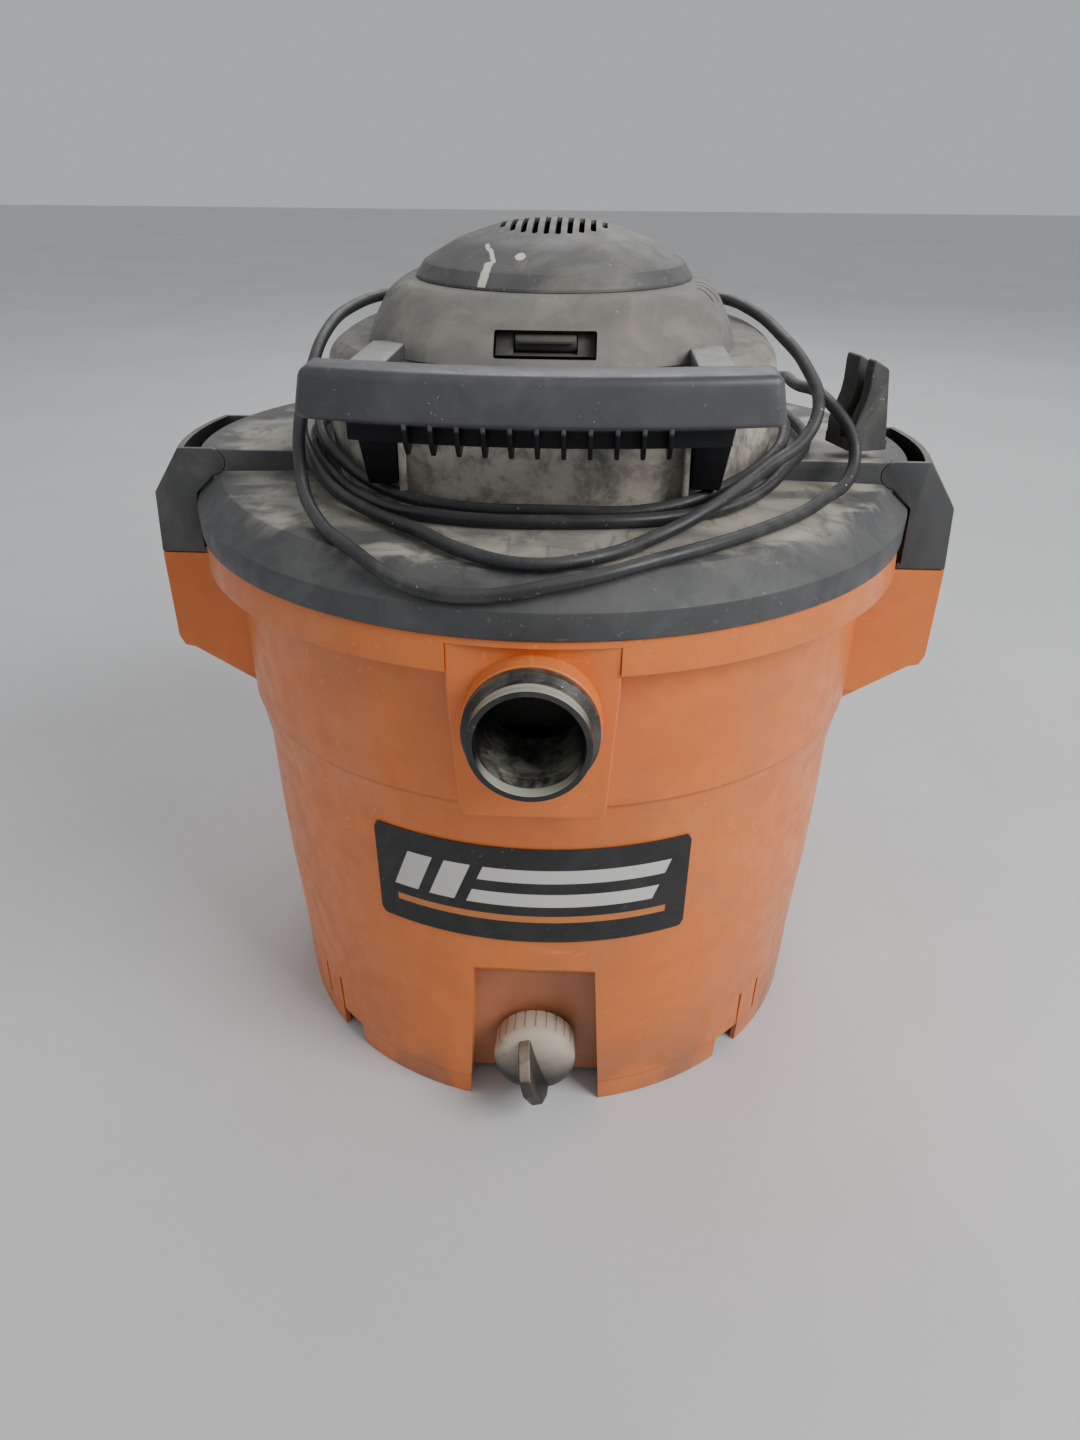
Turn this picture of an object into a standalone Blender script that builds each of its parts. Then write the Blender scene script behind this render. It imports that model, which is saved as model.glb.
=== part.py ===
"""Shop vacuum: tapered drum, power head with a fixed front handle, cord wound on the head.

Metres, +Z up. The origin is on the floor at the drum's axis. The hose inlet faces -Y,
the exhaust port faces +Y and the accessory holder is on the +X side of the head.
"""
import math

import bmesh
import bpy
from mathutils import Matrix, Vector

# ---------------------------------------------------------------- driving dimensions
GAP = 0.0003                 # air between neighbouring pieces
WALL = 0.0035                # moulded wall thickness

# drum
TURN_STEPS = 40                # sides of the large turned solids
DRUM_OUTER = ((0.1976, 0.0), (0.1986, 0.017), (0.2006, 0.064), (0.2049, 0.121),
              (0.2073, 0.170), (0.2087, 0.228), (0.2141, 0.2612), (0.2151, 0.2622), (0.2165, 0.3725))
FLOOR_Z = 0.022              # underside of the tank floor
RIM_Z = 0.3765               # top face of the rim
RIM_R = 0.2338
BAND_R = 0.2349              # hanging rim band, at its lower edge
BAND_Z = 0.3557
BAND_T = 0.0027
HANDLE_HALF = 0.0548         # half length of a drum handle and of a latch, along Y
HANDLE_TOP_Z = 0.3523
HANDLE_LOW_Z = 0.2837
HANDLE_R = 0.2665            # outer radius of the drum handles and latches
PANEL_Y = -0.2290            # flat face round the hose inlet
PANEL_HALF_TOP = 0.0463
PANEL_HALF_LOW = 0.0415
PANEL_LOW_Z = 0.2647
RECESS_HALF_LOW = 0.0455
RECESS_HALF_TOP = 0.0394
RECESS_TOP_Z = 0.130
RECESS_Y = -0.170            # back wall of the drain recess
DRAIN_Z = 0.0385
WING_TURN = 107              # degrees, how far the cap is screwed round
CASTER_ANGLES = (-45, -135, 45, 135)
SLOT_OFFSETS = (3.0, 9.4)    # degrees from a caster pocket's centre to its slots, towards the drum's side
LABEL_LOW_Z = 0.1555
LABEL_TOP_Z = 0.2285
LABEL_CENTRE = -90.9         # degrees round the drum
LABEL_HALF = 28.1

# hose inlet and exhaust share one nominal port size
PORT_BORE_R = 0.02875
PORT_R = 0.0330
PORT_REACH = 0.262           # distance of both port faces from the drum's axis
INLET_Z = 0.3300
EXHAUST_Z = 0.4490

# lid
LID_R = 0.2365
CREASE_Z = 0.3930
SHOULDER_R = 0.2190
SHOULDER_Z = 0.4090
DECK_Z = 0.4110
PLATEAU_R = 0.2317
PLATEAU_Z = 0.4212           # height of the sloping plateau above the axis
PLATEAU_SLOPE = -0.0400
WELL_R = 0.1030              # well in the plateau that holds the blower
LID_HOLE_R = 0.0700

# latches
LATCH_AXIS_X = 0.2185
LATCH_AXIS_Z = 0.4150
LATCH_EYE_R = 0.0084
CHEEK = 0.0040

# power head: superellipse rings as (z, half width, front reach, rear reach)
BASE_RINGS = ((0.4113, 0.1400, 0.1265, 0.1480), (0.4350, 0.1430, 0.1275, 0.1500),
              (0.4720, 0.1425, 0.1270, 0.1495), (0.4850, 0.1395, 0.1265, 0.1465),
              (0.4910, 0.1310, 0.1255, 0.1390))
BASE_POWER = 2.6
COVER_POWER = 3.0
COVER_RINGS = ((0.4913, 0.1125, 0.1285, 0.1260), (0.5000, 0.1107, 0.1225, 0.1235),
               (0.5090, 0.1066, 0.1125, 0.1180), (0.5170, 0.1020, 0.1030, 0.1110),
               (0.5215, 0.0968, 0.0965, 0.1030), (0.5235, 0.0915, 0.0915, 0.0950))
COVER_TOP_Z = 0.5235
CAP_R = 0.0868
CAP_CREASE_R = 0.0817
CAP_CREASE_Z = 0.5327
CAP_TOP_Z = 0.5570
SLOT_COUNT = 10
SLOT_PITCH = 0.0069
SLOT_W = 0.0034
SLOT_FIELD_R = 0.0330
SLOT_FIELD_Y = -0.010

# handle
GRIP_HALF = 0.1258
GRIP_END_Y = -0.188
GRIP_BOW = 0.017             # how far the middle of the grip stands ahead of its ends
GRIP_DEPTH = 0.030
GRIP_TOP_Z = 0.5012
GRIP_LOW_Z = 0.4717
RIB_COUNT = 11
RIB_PITCH = 0.0133
ARM_X = (0.0800, 0.1000)
LEG_X = (0.0840, 0.1110)
HOLDER_SPOT = (0.2068, -0.0480, 0.0)
HOLDER_TURN = 20             # degrees, the accessory holder's turn about that spot
SCREW_X = 0.0564
SCREW_Y = 0.0564

# motor and blower, all on the drum's axis
SHAFT_R = 0.0060
IMPELLER_R = 0.0850
BLADES = 7
BLOWER_R = 0.1000

# filter, float and cage
CAGE_R = 0.0590
FILTER_R = 0.0825
FILTER_IN_R = 0.0640
FILTER_LOW_Z = 0.2420
FILTER_TOP_Z = 0.3957
PLEATS = 28

# cord
CORD_D = 0.0076
CORD_EXIT = (-0.0860, 0.1740, 0.4370)
CORD_ROUTE = (
    # out of the sleeve and once round, lowest against the head
    CORD_EXIT, (-0.0933, 0.1806, 0.4354), (-0.1109, 0.1897, 0.4305), (-0.1300, 0.1881, 0.4245),
    (-0.1470, 0.1740, 0.4195), (-0.1610, 0.1150, 0.4212), (-0.1600, 0.0350, 0.4255),
    (-0.1510, -0.0450, 0.4290), (-0.1390, -0.0810, 0.4250), (-0.1020, -0.1290, 0.4155),
    (-0.0620, -0.1530, 0.4154), (0.0100, -0.1600, 0.4154), (0.0840, -0.1430, 0.4155),
    (0.1200, -0.1170, 0.4175), (0.1490, -0.0770, 0.4285), (0.1640, -0.0330, 0.4290),
    (0.1690, 0.0300, 0.4255), (0.1620, 0.0850, 0.4250), (0.1370, 0.1270, 0.4360),
    (0.0920, 0.1500, 0.4640), (0.0300, 0.1640, 0.4880), (-0.0300, 0.1640, 0.4880),
    # second turn, close to the head
    (-0.0900, 0.1510, 0.4660), (-0.1370, 0.1130, 0.4390), (-0.1520, 0.0350, 0.4345),
    (-0.1470, -0.0450, 0.4380), (-0.1280, -0.0885, 0.4315), (-0.0990, -0.1150, 0.4205),
    (-0.0600, -0.1350, 0.4160), (0.0030, -0.1420, 0.4154), (0.0670, -0.1350, 0.4160),
    (0.1050, -0.1130, 0.4225), (0.1340, -0.0790, 0.4300), (0.1510, -0.0280, 0.4345),
    (0.1540, 0.0350, 0.4345), (0.1480, 0.0950, 0.4400), (0.1210, 0.1430, 0.4590),
    (0.0760, 0.1720, 0.4790), (0.0220, 0.1770, 0.4890),
    # third turn, dropping to the front edge of the lid
    (-0.0350, 0.1735, 0.4885), (-0.0900, 0.1640, 0.4740), (-0.1430, 0.1310, 0.4490),
    (-0.1690, 0.0400, 0.4370), (-0.1600, -0.0400, 0.4410), (-0.1490, -0.0800, 0.4350),
    (-0.1270, -0.1170, 0.4210), (-0.0970, -0.1500, 0.4160), (-0.0671, -0.1771, 0.4152),
    (-0.0353, -0.2090, 0.4145), (-0.0030, -0.2213, 0.4132), (0.0300, -0.2130, 0.4145),
    (0.0620, -0.1840, 0.4160), (0.0939, -0.1553, 0.4240), (0.1300, -0.1130, 0.4360),
    (0.1540, -0.0880, 0.4470), (0.1620, -0.0700, 0.4620), (0.1570, -0.0430, 0.4780),
    (0.1460, -0.0080, 0.4900), (0.1330, 0.0380, 0.4980), (0.1120, 0.0920, 0.5000),
    # top turn, falling outside the others at the front
    (0.0650, 0.1370, 0.4990), (-0.0650, 0.1370, 0.4990), (-0.1180, 0.0920, 0.5000),
    (-0.1400, 0.0430, 0.4970), (-0.1475, -0.0080, 0.4885), (-0.1485, -0.0520, 0.4720),
    (-0.1480, -0.0880, 0.4530), (-0.1440, -0.1140, 0.4300), (-0.1256, -0.1600, 0.4160),
    (-0.0953, -0.2040, 0.4120), (-0.0655, -0.2255, 0.4030), (-0.0336, -0.2340, 0.4005),
    (0.0123, -0.2310, 0.4066), (0.0637, -0.2115, 0.4140), (0.1212, -0.1641, 0.4150),
    (0.1630, -0.1120, 0.4160), (0.1860, -0.0770, 0.4240), (0.1870, -0.0620, 0.4400),
    (0.1750, -0.0450, 0.4560), (0.1640, 0.0200, 0.4545), (0.1650, 0.1100, 0.4420),
    (0.1480, 0.1560, 0.4275), (0.1060, 0.1830, 0.4275),
)
SLEEVE_LENGTH = 0.050
PLUG_LENGTH = 0.046


# ---------------------------------------------------------------- helpers
def clear_scene():
    for old in list(bpy.data.objects):
        bpy.data.objects.remove(old, do_unlink=True)


def material(name, colour, roughness, metallic=0.0):
    made = bpy.data.materials.new(name)
    made.use_nodes = True
    shader = made.node_tree.nodes["Principled BSDF"]
    shader.inputs["Base Color"].default_value = (*colour, 1.0)
    shader.inputs["Roughness"].default_value = roughness
    shader.inputs["Metallic"].default_value = metallic
    return made


def finish_mesh(name, bm, look=None, angle=35):
    """Turn a bmesh into an object; without a look it is a hidden cutter."""
    bmesh.ops.connect_verts_nonplanar(bm, angle_limit=0.0005, faces=bm.faces)
    bmesh.ops.recalc_face_normals(bm, faces=bm.faces)
    mesh = bpy.data.meshes.new(name)
    bm.to_mesh(mesh)
    bm.free()
    mesh.shade_smooth()
    mesh.set_sharp_from_angle(angle=math.radians(angle))
    made = bpy.data.objects.new(name, mesh)
    bpy.context.scene.collection.objects.link(made)
    if look is None:
        made.hide_render = True
        made.display_type = "WIRE"
    else:
        mesh.materials.append(look)
    return made


def bridge(bm, a, b):
    """Faces between two rings of vertices; a ring of one is a pole."""
    for k in range(max(len(a), len(b))):
        corners = [a[k % len(a)], a[(k + 1) % len(a)], b[(k + 1) % len(b)], b[k % len(b)]]
        unique = list(dict.fromkeys(corners))
        if len(unique) > 2:
            bm.faces.new(unique)


def ring_skin(bm, rings, closed_along=False):
    """Join a run of vertex rings into a skin, capping open ends."""
    for a, b in zip(rings, rings[1:]):
        bridge(bm, a, b)
    if closed_along:
        bridge(bm, rings[-1], rings[0])
        return
    for end in (rings[0], rings[-1]):
        if len(end) > 2:
            bm.faces.new(end)


def lathe(name, profile, look=None, steps=48, closed=False, turn=None, angle=35):
    """Turn (radius, height) points about Z; turn is a matrix that places the result."""
    bm = bmesh.new()
    rings = []
    for radius, height in profile:
        if radius == 0:
            rings.append([bm.verts.new((0, 0, height))])
            continue
        spots = [2 * math.pi * k / steps for k in range(steps)]
        rings.append([bm.verts.new((radius * math.cos(t), radius * math.sin(t), height)) for t in spots])
    ring_skin(bm, rings, closed)
    if turn is not None:
        bmesh.ops.transform(bm, matrix=turn, verts=bm.verts)
    return finish_mesh(name, bm, look, angle)


def loft(name, rings, look=None, angle=35):
    bm = bmesh.new()
    ring_skin(bm, [[bm.verts.new(p) for p in ring] for ring in rings])
    return finish_mesh(name, bm, look, angle)


def prism(name, outline, axis, low, high, look=None, angle=35):
    """Extrude an outline along X ((y, z) points), Y ((x, z)) or Z ((x, y))."""
    def place(a, b, along):
        return {"X": (along, a, b), "Y": (a, along, b), "Z": (a, b, along)}[axis]
    rings = [[place(a, b, along) for a, b in outline] for along in (low, high)]
    return loft(name, rings, look, angle)


def box(name, low, high, look=None):
    outline = ((low[0], low[1]), (high[0], low[1]), (high[0], high[1]), (low[0], high[1]))
    return prism(name, outline, "Z", low[2], high[2], look)


def boxes(name, places):
    """Several separate boxes in one hidden cutter; each place is (low, high, matrix)."""
    bm = bmesh.new()
    for low, high, turn in places:
        low = Vector(low)
        high = Vector(high)
        size = high - low
        place = turn @ Matrix.Translation((low + high) / 2) @ Matrix.Diagonal((*size, 1))
        bmesh.ops.create_cube(bm, size=1, matrix=place)
    return finish_mesh(name, bm)


def arc(centre, radius, start, end, steps):
    """Points of a circular arc, angles in degrees."""
    spots = [math.radians(start + (end - start) * k / steps) for k in range(steps + 1)]
    return [(centre[0] + radius * math.cos(t), centre[1] + radius * math.sin(t)) for t in spots]


def boolean(target, tool, operation):
    step = target.modifiers.new(operation.lower(), "BOOLEAN")
    step.operation = operation
    step.solver = "EXACT"
    step.object = tool
    tool.hide_render = True
    tool.display_type = "WIRE"


def cut(target, *tools):
    for tool in tools:
        boolean(target, tool, "DIFFERENCE")


def join(target, *tools):
    for tool in tools:
        boolean(target, tool, "UNION")


def keep_inside(target, tool):
    boolean(target, tool, "INTERSECT")


def use_manifold(target):
    """EXACT leaves open edges after this many cuts, so this piece takes the other solver."""
    for step in target.modifiers:
        step.solver = "MANIFOLD"


def facing(direction, spot=(0, 0, 0)):
    """Matrix that turns the lathe's +Z to a direction and moves it to a spot."""
    turn = Vector((0, 0, 1)).rotation_difference(Vector(direction)).to_matrix().to_4x4()
    return Matrix.Translation(spot) @ turn


def move_origin(made, spot):
    """Put an object's origin, and its cutters' parent, at a spot without moving any shape."""
    made.data.transform(Matrix.Translation(-Vector(spot)))
    made.location = spot
    for step in made.modifiers:
        step.object.parent = made
        step.object.matrix_parent_inverse = Matrix.Translation(spot).inverted()


def superellipse(z, half, front, rear, power, steps=32):
    ring = []
    for k in range(steps):
        t = 2 * math.pi * k / steps
        c = math.cos(t)
        s = math.sin(t)
        reach = rear if s > 0 else front
        x = half * math.copysign(abs(c) ** (2 / power), c)
        y = reach * math.copysign(abs(s) ** (2 / power), s)
        ring.append((x, y, z))
    return ring


def grown_solid(name, rings, power):
    """Solid of the same rings, larger by the gap, to cut a neighbour that leans on a shell."""
    solid = [superellipse(z, half + GAP, front + GAP, rear + GAP, power) for z, half, front, rear in rings]
    top = rings[-1]
    solid.append(superellipse(top[0] + GAP, top[1], top[2], top[3], power))
    return loft(name, solid)


def shell_loft(name, rings, power, thickness, look):
    """Open-bottomed shell: outer rings going up, a top, and inner rings a wall thinner."""
    ceiling = rings[-1][0] - thickness
    bm = bmesh.new()
    outer = [[bm.verts.new(p) for p in superellipse(*ring, power)] for ring in rings]
    inner = []
    for z, half, front, rear in rings:
        if z > ceiling and len(inner) > 1:
            z = ceiling
        thin = [size - thickness for size in (half, front, rear)]
        if not inner or z > inner[-1][0].co.z:
            inner.append([bm.verts.new(p) for p in superellipse(z, *thin, power)])
    for wall in (outer, inner):
        for low, high in zip(wall, wall[1:]):
            bridge(bm, low, high)
        bm.faces.new(wall[-1])
    bridge(bm, outer[0], inner[0])
    return finish_mesh(name, bm, look)


def plateau_z(y, lift=0.0):
    return PLATEAU_Z + PLATEAU_SLOPE * y + lift


# ---------------------------------------------------------------- looks
def make_looks():
    return {
        "drum": material("drum_plastic", (0.55, 0.19, 0.06), 0.5),
        "head": material("head_plastic", (0.045, 0.047, 0.052), 0.6),
        "cover": material("cover_plastic", (0.09, 0.088, 0.086), 0.7),
        "trim": material("black_plastic", (0.02, 0.02, 0.021), 0.45),
        "label": material("label_film", (0.03, 0.03, 0.033), 0.4),
        "rubber": material("rubber", (0.03, 0.03, 0.03), 0.8),
        "cord": material("cord_jacket", (0.025, 0.026, 0.03), 0.5),
        "steel": material("steel", (0.55, 0.56, 0.57), 0.35, 1.0),
        "copper": material("copper", (0.72, 0.35, 0.2), 0.4, 1.0),
        "carbon": material("carbon", (0.05, 0.05, 0.05), 0.6),
        "alloy": material("cast_alloy", (0.6, 0.6, 0.6), 0.45, 1.0),
        "inner": material("inner_plastic", (0.12, 0.12, 0.125), 0.6),
        "paper": material("filter_paper", (0.78, 0.75, 0.66), 0.9),
        "foam": material("foam", (0.06, 0.06, 0.06), 0.95),
        "switch": material("switch_plastic", (0.04, 0.04, 0.042), 0.4),
    }


# ---------------------------------------------------------------- drum
def recess_prism(name, grow, low, front):
    """The drain recess as a tapered wedge, grown by a wall thickness for its liner."""
    slope = 0.0345
    outline = ((front, low), (RECESS_Y + grow, low), (RECESS_Y + grow, RECESS_TOP_Z - slope + grow * 0.4),
               (RECESS_Y - slope + grow * 0.4, RECESS_TOP_Z + grow), (front, RECESS_TOP_Z + grow))

    def half(z):
        return RECESS_HALF_LOW + (RECESS_HALF_TOP - RECESS_HALF_LOW) * z / RECESS_TOP_Z + grow
    rings = [[(side * half(z), y, z) for y, z in outline] for side in (-1, 1)]
    return loft(name, rings)


def handle_block(name, side, profile, half=None, look=None):
    """A sector of a turned solid on one side, cut by two planes across the drum if half is given."""
    sector = math.radians(33)
    steps = 10
    rings = []
    for k in range(steps + 1):
        t = -sector / 2 + sector * k / steps
        rings.append([(side * r * math.cos(t), side * r * math.sin(t), z) for r, z in profile])
    made = loft(name, rings, look)
    if half is not None:
        low_x, high_x = sorted((side * 0.15, side * 0.32))
        keep_inside(made, box(name + "_slab", (low_x, -half, 0.2), (high_x, half, 0.45)))
    return made


def build_drum(looks):
    wall_top = DRUM_OUTER[-1]
    inner = [(r - WALL, z) for r, z in (DRUM_OUTER[3], DRUM_OUTER[5], DRUM_OUTER[6])]
    profile = [(0, FLOOR_Z), (DRUM_OUTER[0][0] - WALL, FLOOR_Z), (DRUM_OUTER[0][0] - WALL, 0.0)]
    profile += list(DRUM_OUTER)
    profile += [(RIM_R - BAND_T, wall_top[1]), (BAND_R - BAND_T, BAND_Z), (BAND_R, BAND_Z), (RIM_R, RIM_Z),
                (wall_top[0] - WALL, RIM_Z)]
    profile += list(reversed(inner))
    profile += [(DRUM_OUTER[1][0] - WALL, FLOOR_Z + WALL), (0, FLOOR_Z + WALL)]
    drum = lathe("drum", profile, looks["drum"], steps=TURN_STEPS)

    # the rim band stops either side of the inlet and a flat panel fills the space
    band_cut = box("band_cut", (-PANEL_HALF_TOP, -0.26, 0.345),
                   (PANEL_HALF_TOP, -0.2175, wall_top[1] - 0.0001))
    cut(drum, band_cut)
    panel_outline = ((PANEL_HALF_TOP, 0.3745), (-PANEL_HALF_TOP, 0.3745), (-PANEL_HALF_TOP, 0.345),
                     (-PANEL_HALF_LOW - 0.002, PANEL_LOW_Z + 0.012), (-PANEL_HALF_LOW + 0.006, PANEL_LOW_Z),
                     (PANEL_HALF_LOW - 0.006, PANEL_LOW_Z), (PANEL_HALF_LOW + 0.002, PANEL_LOW_Z + 0.012),
                     (PANEL_HALF_TOP, 0.345))
    join(drum, prism("inlet_panel", panel_outline, "Y", PANEL_Y, -0.2112))
    collar = ((0, 0.205), (0.0375, 0.205), (0.0375, 0.2420), (0.0365, 0.2430), (0, 0.2430))
    join(drum, lathe("inlet_collar", collar, steps=28, turn=facing((0, -1, 0), (0, 0, INLET_Z))))

    # side handles, open underneath for the fingers
    outer = ((0.2140, HANDLE_TOP_Z), (HANDLE_R, HANDLE_TOP_Z), (HANDLE_R - 0.0013, HANDLE_LOW_Z + 0.007),
             (HANDLE_R - 0.0045, HANDLE_LOW_Z), (0.2550, HANDLE_LOW_Z - 0.0015), (0.2120, 0.2550))
    hollow = ((0.2190, HANDLE_TOP_Z - 0.004), (HANDLE_R - 0.004, HANDLE_TOP_Z - 0.004),
              (HANDLE_R - 0.0055, HANDLE_LOW_Z - 0.02), (0.2190, HANDLE_LOW_Z - 0.05))
    sides = ((-1, "left"), (1, "right"))
    for side, word in sides:
        join(drum, handle_block("handle_outer_" + word, side, outer, HANDLE_HALF))

    # drain recess with its liner, spout and bore
    liner = recess_prism("recess_liner", WALL, 0.006, -0.26)
    core = [(r - 0.0008, z) for r, z in DRUM_OUTER[1:5]]
    core = [(0, 0.003), (DRUM_OUTER[0][0] - 0.0008, 0.003)] + core + [(0, DRUM_OUTER[4][1])]
    keep_inside(liner, lathe("recess_core", core, steps=TURN_STEPS))
    join(drum, liner)
    cut(drum, recess_prism("recess_space", 0.0, -0.01, -0.26))
    spout = ((0, -RECESS_Y - 0.002), (0.0165, -RECESS_Y - 0.002), (0.0165, 0.1905), (0, 0.1905))
    join(drum, lathe("drain_spout", spout, steps=20, turn=facing((0, -1, 0), (0, 0, DRAIN_Z))))

    # everything that is cut right through comes last
    for side, word in sides:
        cut(drum, handle_block("handle_hollow_" + word, side, hollow, HANDLE_HALF - WALL))
    bore = ((0, 0.19), (0.0330, 0.19), (0.0330, 0.26), (0, 0.26))
    cut(drum, lathe("inlet_bore", bore, steps=28, turn=facing((0, -1, 0), (0, 0, INLET_Z))))
    hole = ((0, 0.150), (0.0125, 0.150), (0.0125, 0.200), (0, 0.200))
    cut(drum, lathe("drain_bore", hole, steps=20, turn=facing((0, -1, 0), (0, 0, DRAIN_Z))))

    # caster pockets round the foot of the skirt, each with two slots above it
    pockets = []
    for degrees in CASTER_ANGLES:
        turn = Matrix.Rotation(math.radians(degrees), 4, "Z")
        pockets.append(((0.185, -0.0125, -0.01), (0.210, 0.0125, 0.0190), turn))
        towards_side = -1 if degrees in (45, -135) else 1
        for offset in SLOT_OFFSETS:
            side_turn = Matrix.Rotation(math.radians(degrees + towards_side * offset), 4, "Z")
            pockets.append(((0.1980, -0.0016, 0.0205), (0.210, 0.0016, 0.0500), side_turn))
    cut(drum, boxes("caster_pockets", pockets))
    use_manifold(drum)


def build_drum_fittings(looks):
    aim = facing((0, -1, 0), (0, 0, INLET_Z))
    ring = ((PORT_BORE_R, 0.2020), (0.0320, 0.2020), (0.0320, 0.2433), (0.0368, 0.2433), (0.0368, 0.2490),
            (0.0340, 0.2520), (PORT_R, 0.2560), (PORT_R, PORT_REACH), (PORT_BORE_R, PORT_REACH))
    lathe("inlet_port_ring", ring, looks["trim"], steps=32, closed=True, turn=aim)

    # hood on the end of the port's sleeve, open underneath, so the air turns down into the tank
    hood = box("inlet_deflector", (-0.0400, -0.2045, 0.2870), (0.0400, -0.1600, 0.3677), looks["inner"])
    inside = box("deflector_space", (-0.0375, -0.2020, 0.28), (0.0375, -0.1625, 0.3652))
    mouth = ((0, 0.190), (0.0323, 0.190), (0.0323, 0.21), (0, 0.21))
    cut(hood, inside, lathe("deflector_mouth", mouth, steps=28, turn=aim))

    # curved label plate that stands just off the drum wall
    rings = []
    steps = 16
    for k in range(steps + 1):
        t = math.radians(LABEL_CENTRE) + math.radians(LABEL_HALF) * (2 * k / steps - 1)
        rows = []
        for z in (LABEL_LOW_Z, LABEL_TOP_Z):
            wall = 0.2071 + (z - 0.165) * 0.0254
            rows.append((wall + GAP, z))
            rows.append((wall + GAP + 0.0009, z))
        order = (rows[0], rows[1], rows[3], rows[2])
        rings.append([(r * math.cos(t), r * math.sin(t), z) for r, z in order])
    loft("label_panel", rings, looks["label"])


def build_drain_cap(looks):
    aim = facing((0, -1, 0), (0, 0, DRAIN_Z))
    washer = ((0.0128, 0.1908), (0.0166, 0.1908), (0.0166, 0.1930), (0.0128, 0.1930))
    seal = lathe("drain_seal", washer, looks["rubber"], steps=20, closed=True, turn=aim)
    move_origin(seal, (0, -0.192, DRAIN_Z))
    body = ((0, 0.1933), (0.0171, 0.1933), (0.0171, 0.1765), (0.0285, 0.1765), (0.0285, 0.1940),
            (0.0260, 0.1985), (0.0170, 0.2020), (0, 0.2030))
    cap = lathe("drain_cap", body, looks["trim"], steps=24, turn=aim)
    outline = ((-0.0235, 0.1950), (0.0235, 0.1950), (0.0225, 0.2110), (0.0160, 0.2290), (0.0050, 0.2330),
               (-0.0130, 0.2240), (-0.0215, 0.2090))
    wing = prism("drain_wing", outline, "Y", -0.0042, 0.0042)
    wing.data.transform(aim @ Matrix.Rotation(math.radians(WING_TURN), 4, "Z"))
    join(cap, wing)
    move_origin(cap, (0, -0.192, DRAIN_Z))


# ---------------------------------------------------------------- lid and latches
def plateau_solid(name, radius, front, low, lift, half_x=None, flare=0.0):
    """Raised rear part of the lid: round outside, straight front wall, sloping top."""
    start = math.degrees(math.asin(front / radius))
    outline = arc((0, 0), radius, start, 180 - start, 34)
    bottom = [(x * (1 + flare), max(y * (1 + flare), front), low) for x, y in outline]
    top = [(x, y, plateau_z(y, lift)) for x, y in outline]
    made = loft(name, [bottom, top])
    if half_x is not None:
        keep_inside(made, box(name + "_sides", (-half_x, -0.3, 0.3), (half_x, 0.3, 0.5)))
    return made


def build_lid(looks):
    solid = ((0, 0.3768), (0.2360, 0.3768), (LID_R, CREASE_Z), (SHOULDER_R, SHOULDER_Z), (0.150, DECK_Z),
             (0, DECK_Z))
    lid = lathe("lid", solid, looks["head"], steps=TURN_STEPS)
    flare = (LID_R - 0.0005) / PLATEAU_R - 1
    plateau = plateau_solid("plateau", PLATEAU_R, -HANDLE_HALF, CREASE_Z, 0.0, flare=flare)
    cut(plateau, lathe("blower_well", ((0, DECK_Z), (WELL_R, DECK_Z), (WELL_R, 0.45), (0, 0.45)), steps=32))
    for side in (-1, 1):
        for end in (-1, 1):
            y_low, y_high = sorted((end * (HANDLE_HALF + 0.0006), end * (HANDLE_HALF - CHEEK - 0.0005)))
            x_low, x_high = sorted((side * LATCH_AXIS_X, side * 0.245))
            cut(plateau, box(f"cheek_slot_{side}_{end}", (x_low, y_low, 0.385), (x_high, y_high, 0.44)))
            eye = LATCH_EYE_R + 0.0006
            round_slot = lathe(f"cheek_eye_{side}_{end}",
                               ((0, y_low), (eye, y_low), (eye, y_high), (0, y_high)),
                               steps=20, turn=Matrix.Translation((side * LATCH_AXIS_X, 0, LATCH_AXIS_Z))
                               @ Matrix.Rotation(math.radians(-90), 4, "X"))
            cut(plateau, round_slot)
    join(lid, plateau)
    hollow = ((0, 0.370), (0.2325, 0.370), (LID_R - WALL, CREASE_Z - 0.0025),
              (SHOULDER_R - 0.0025, SHOULDER_Z - WALL),
              (0.150, DECK_Z - WALL), (0, DECK_Z - WALL))
    cut(lid, lathe("lid_hollow", hollow, steps=TURN_STEPS))
    raised = plateau_solid("plateau_hollow", PLATEAU_R - WALL, -HANDLE_HALF + WALL, 0.385, -WALL,
                           half_x=0.200)
    cut(raised, lathe("well_wall", ((0, 0.35), (WELL_R + WALL, 0.35), (WELL_R + WALL, 0.46), (0, 0.46)),
                      steps=32))
    cut(lid, raised)
    rib = ((0.2080, 0.3715), (0.2105, 0.3715), (0.2105, 0.4075), (0.2080, 0.4075))
    join(lid, lathe("lid_rib", rib, steps=TURN_STEPS, closed=True))
    cut(lid, lathe("lid_eye", ((0, 0.35), (LID_HOLE_R, 0.35), (LID_HOLE_R, 0.45), (0, 0.45)), steps=32))
    for side in (-1, 1):
        for end in (-1, 1):
            socket = lathe(f"hinge_socket_{side}_{end}", ((0, -0.0125), (0.0034, -0.0125), (0.0034, 0.0060),
                                                          (0, 0.0060)),
                           steps=8, turn=facing((0, end, 0),
                                                (side * LATCH_AXIS_X, end * 0.0545, LATCH_AXIS_Z)))
            cut(lid, socket)
    use_manifold(lid)
    seal = ((0.2109, 0.3768), (0.2175, 0.3768), (0.2175, 0.3812), (0.2109, 0.3812))
    lathe("lid_gasket", seal, looks["foam"], steps=TURN_STEPS, closed=True)


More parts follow.
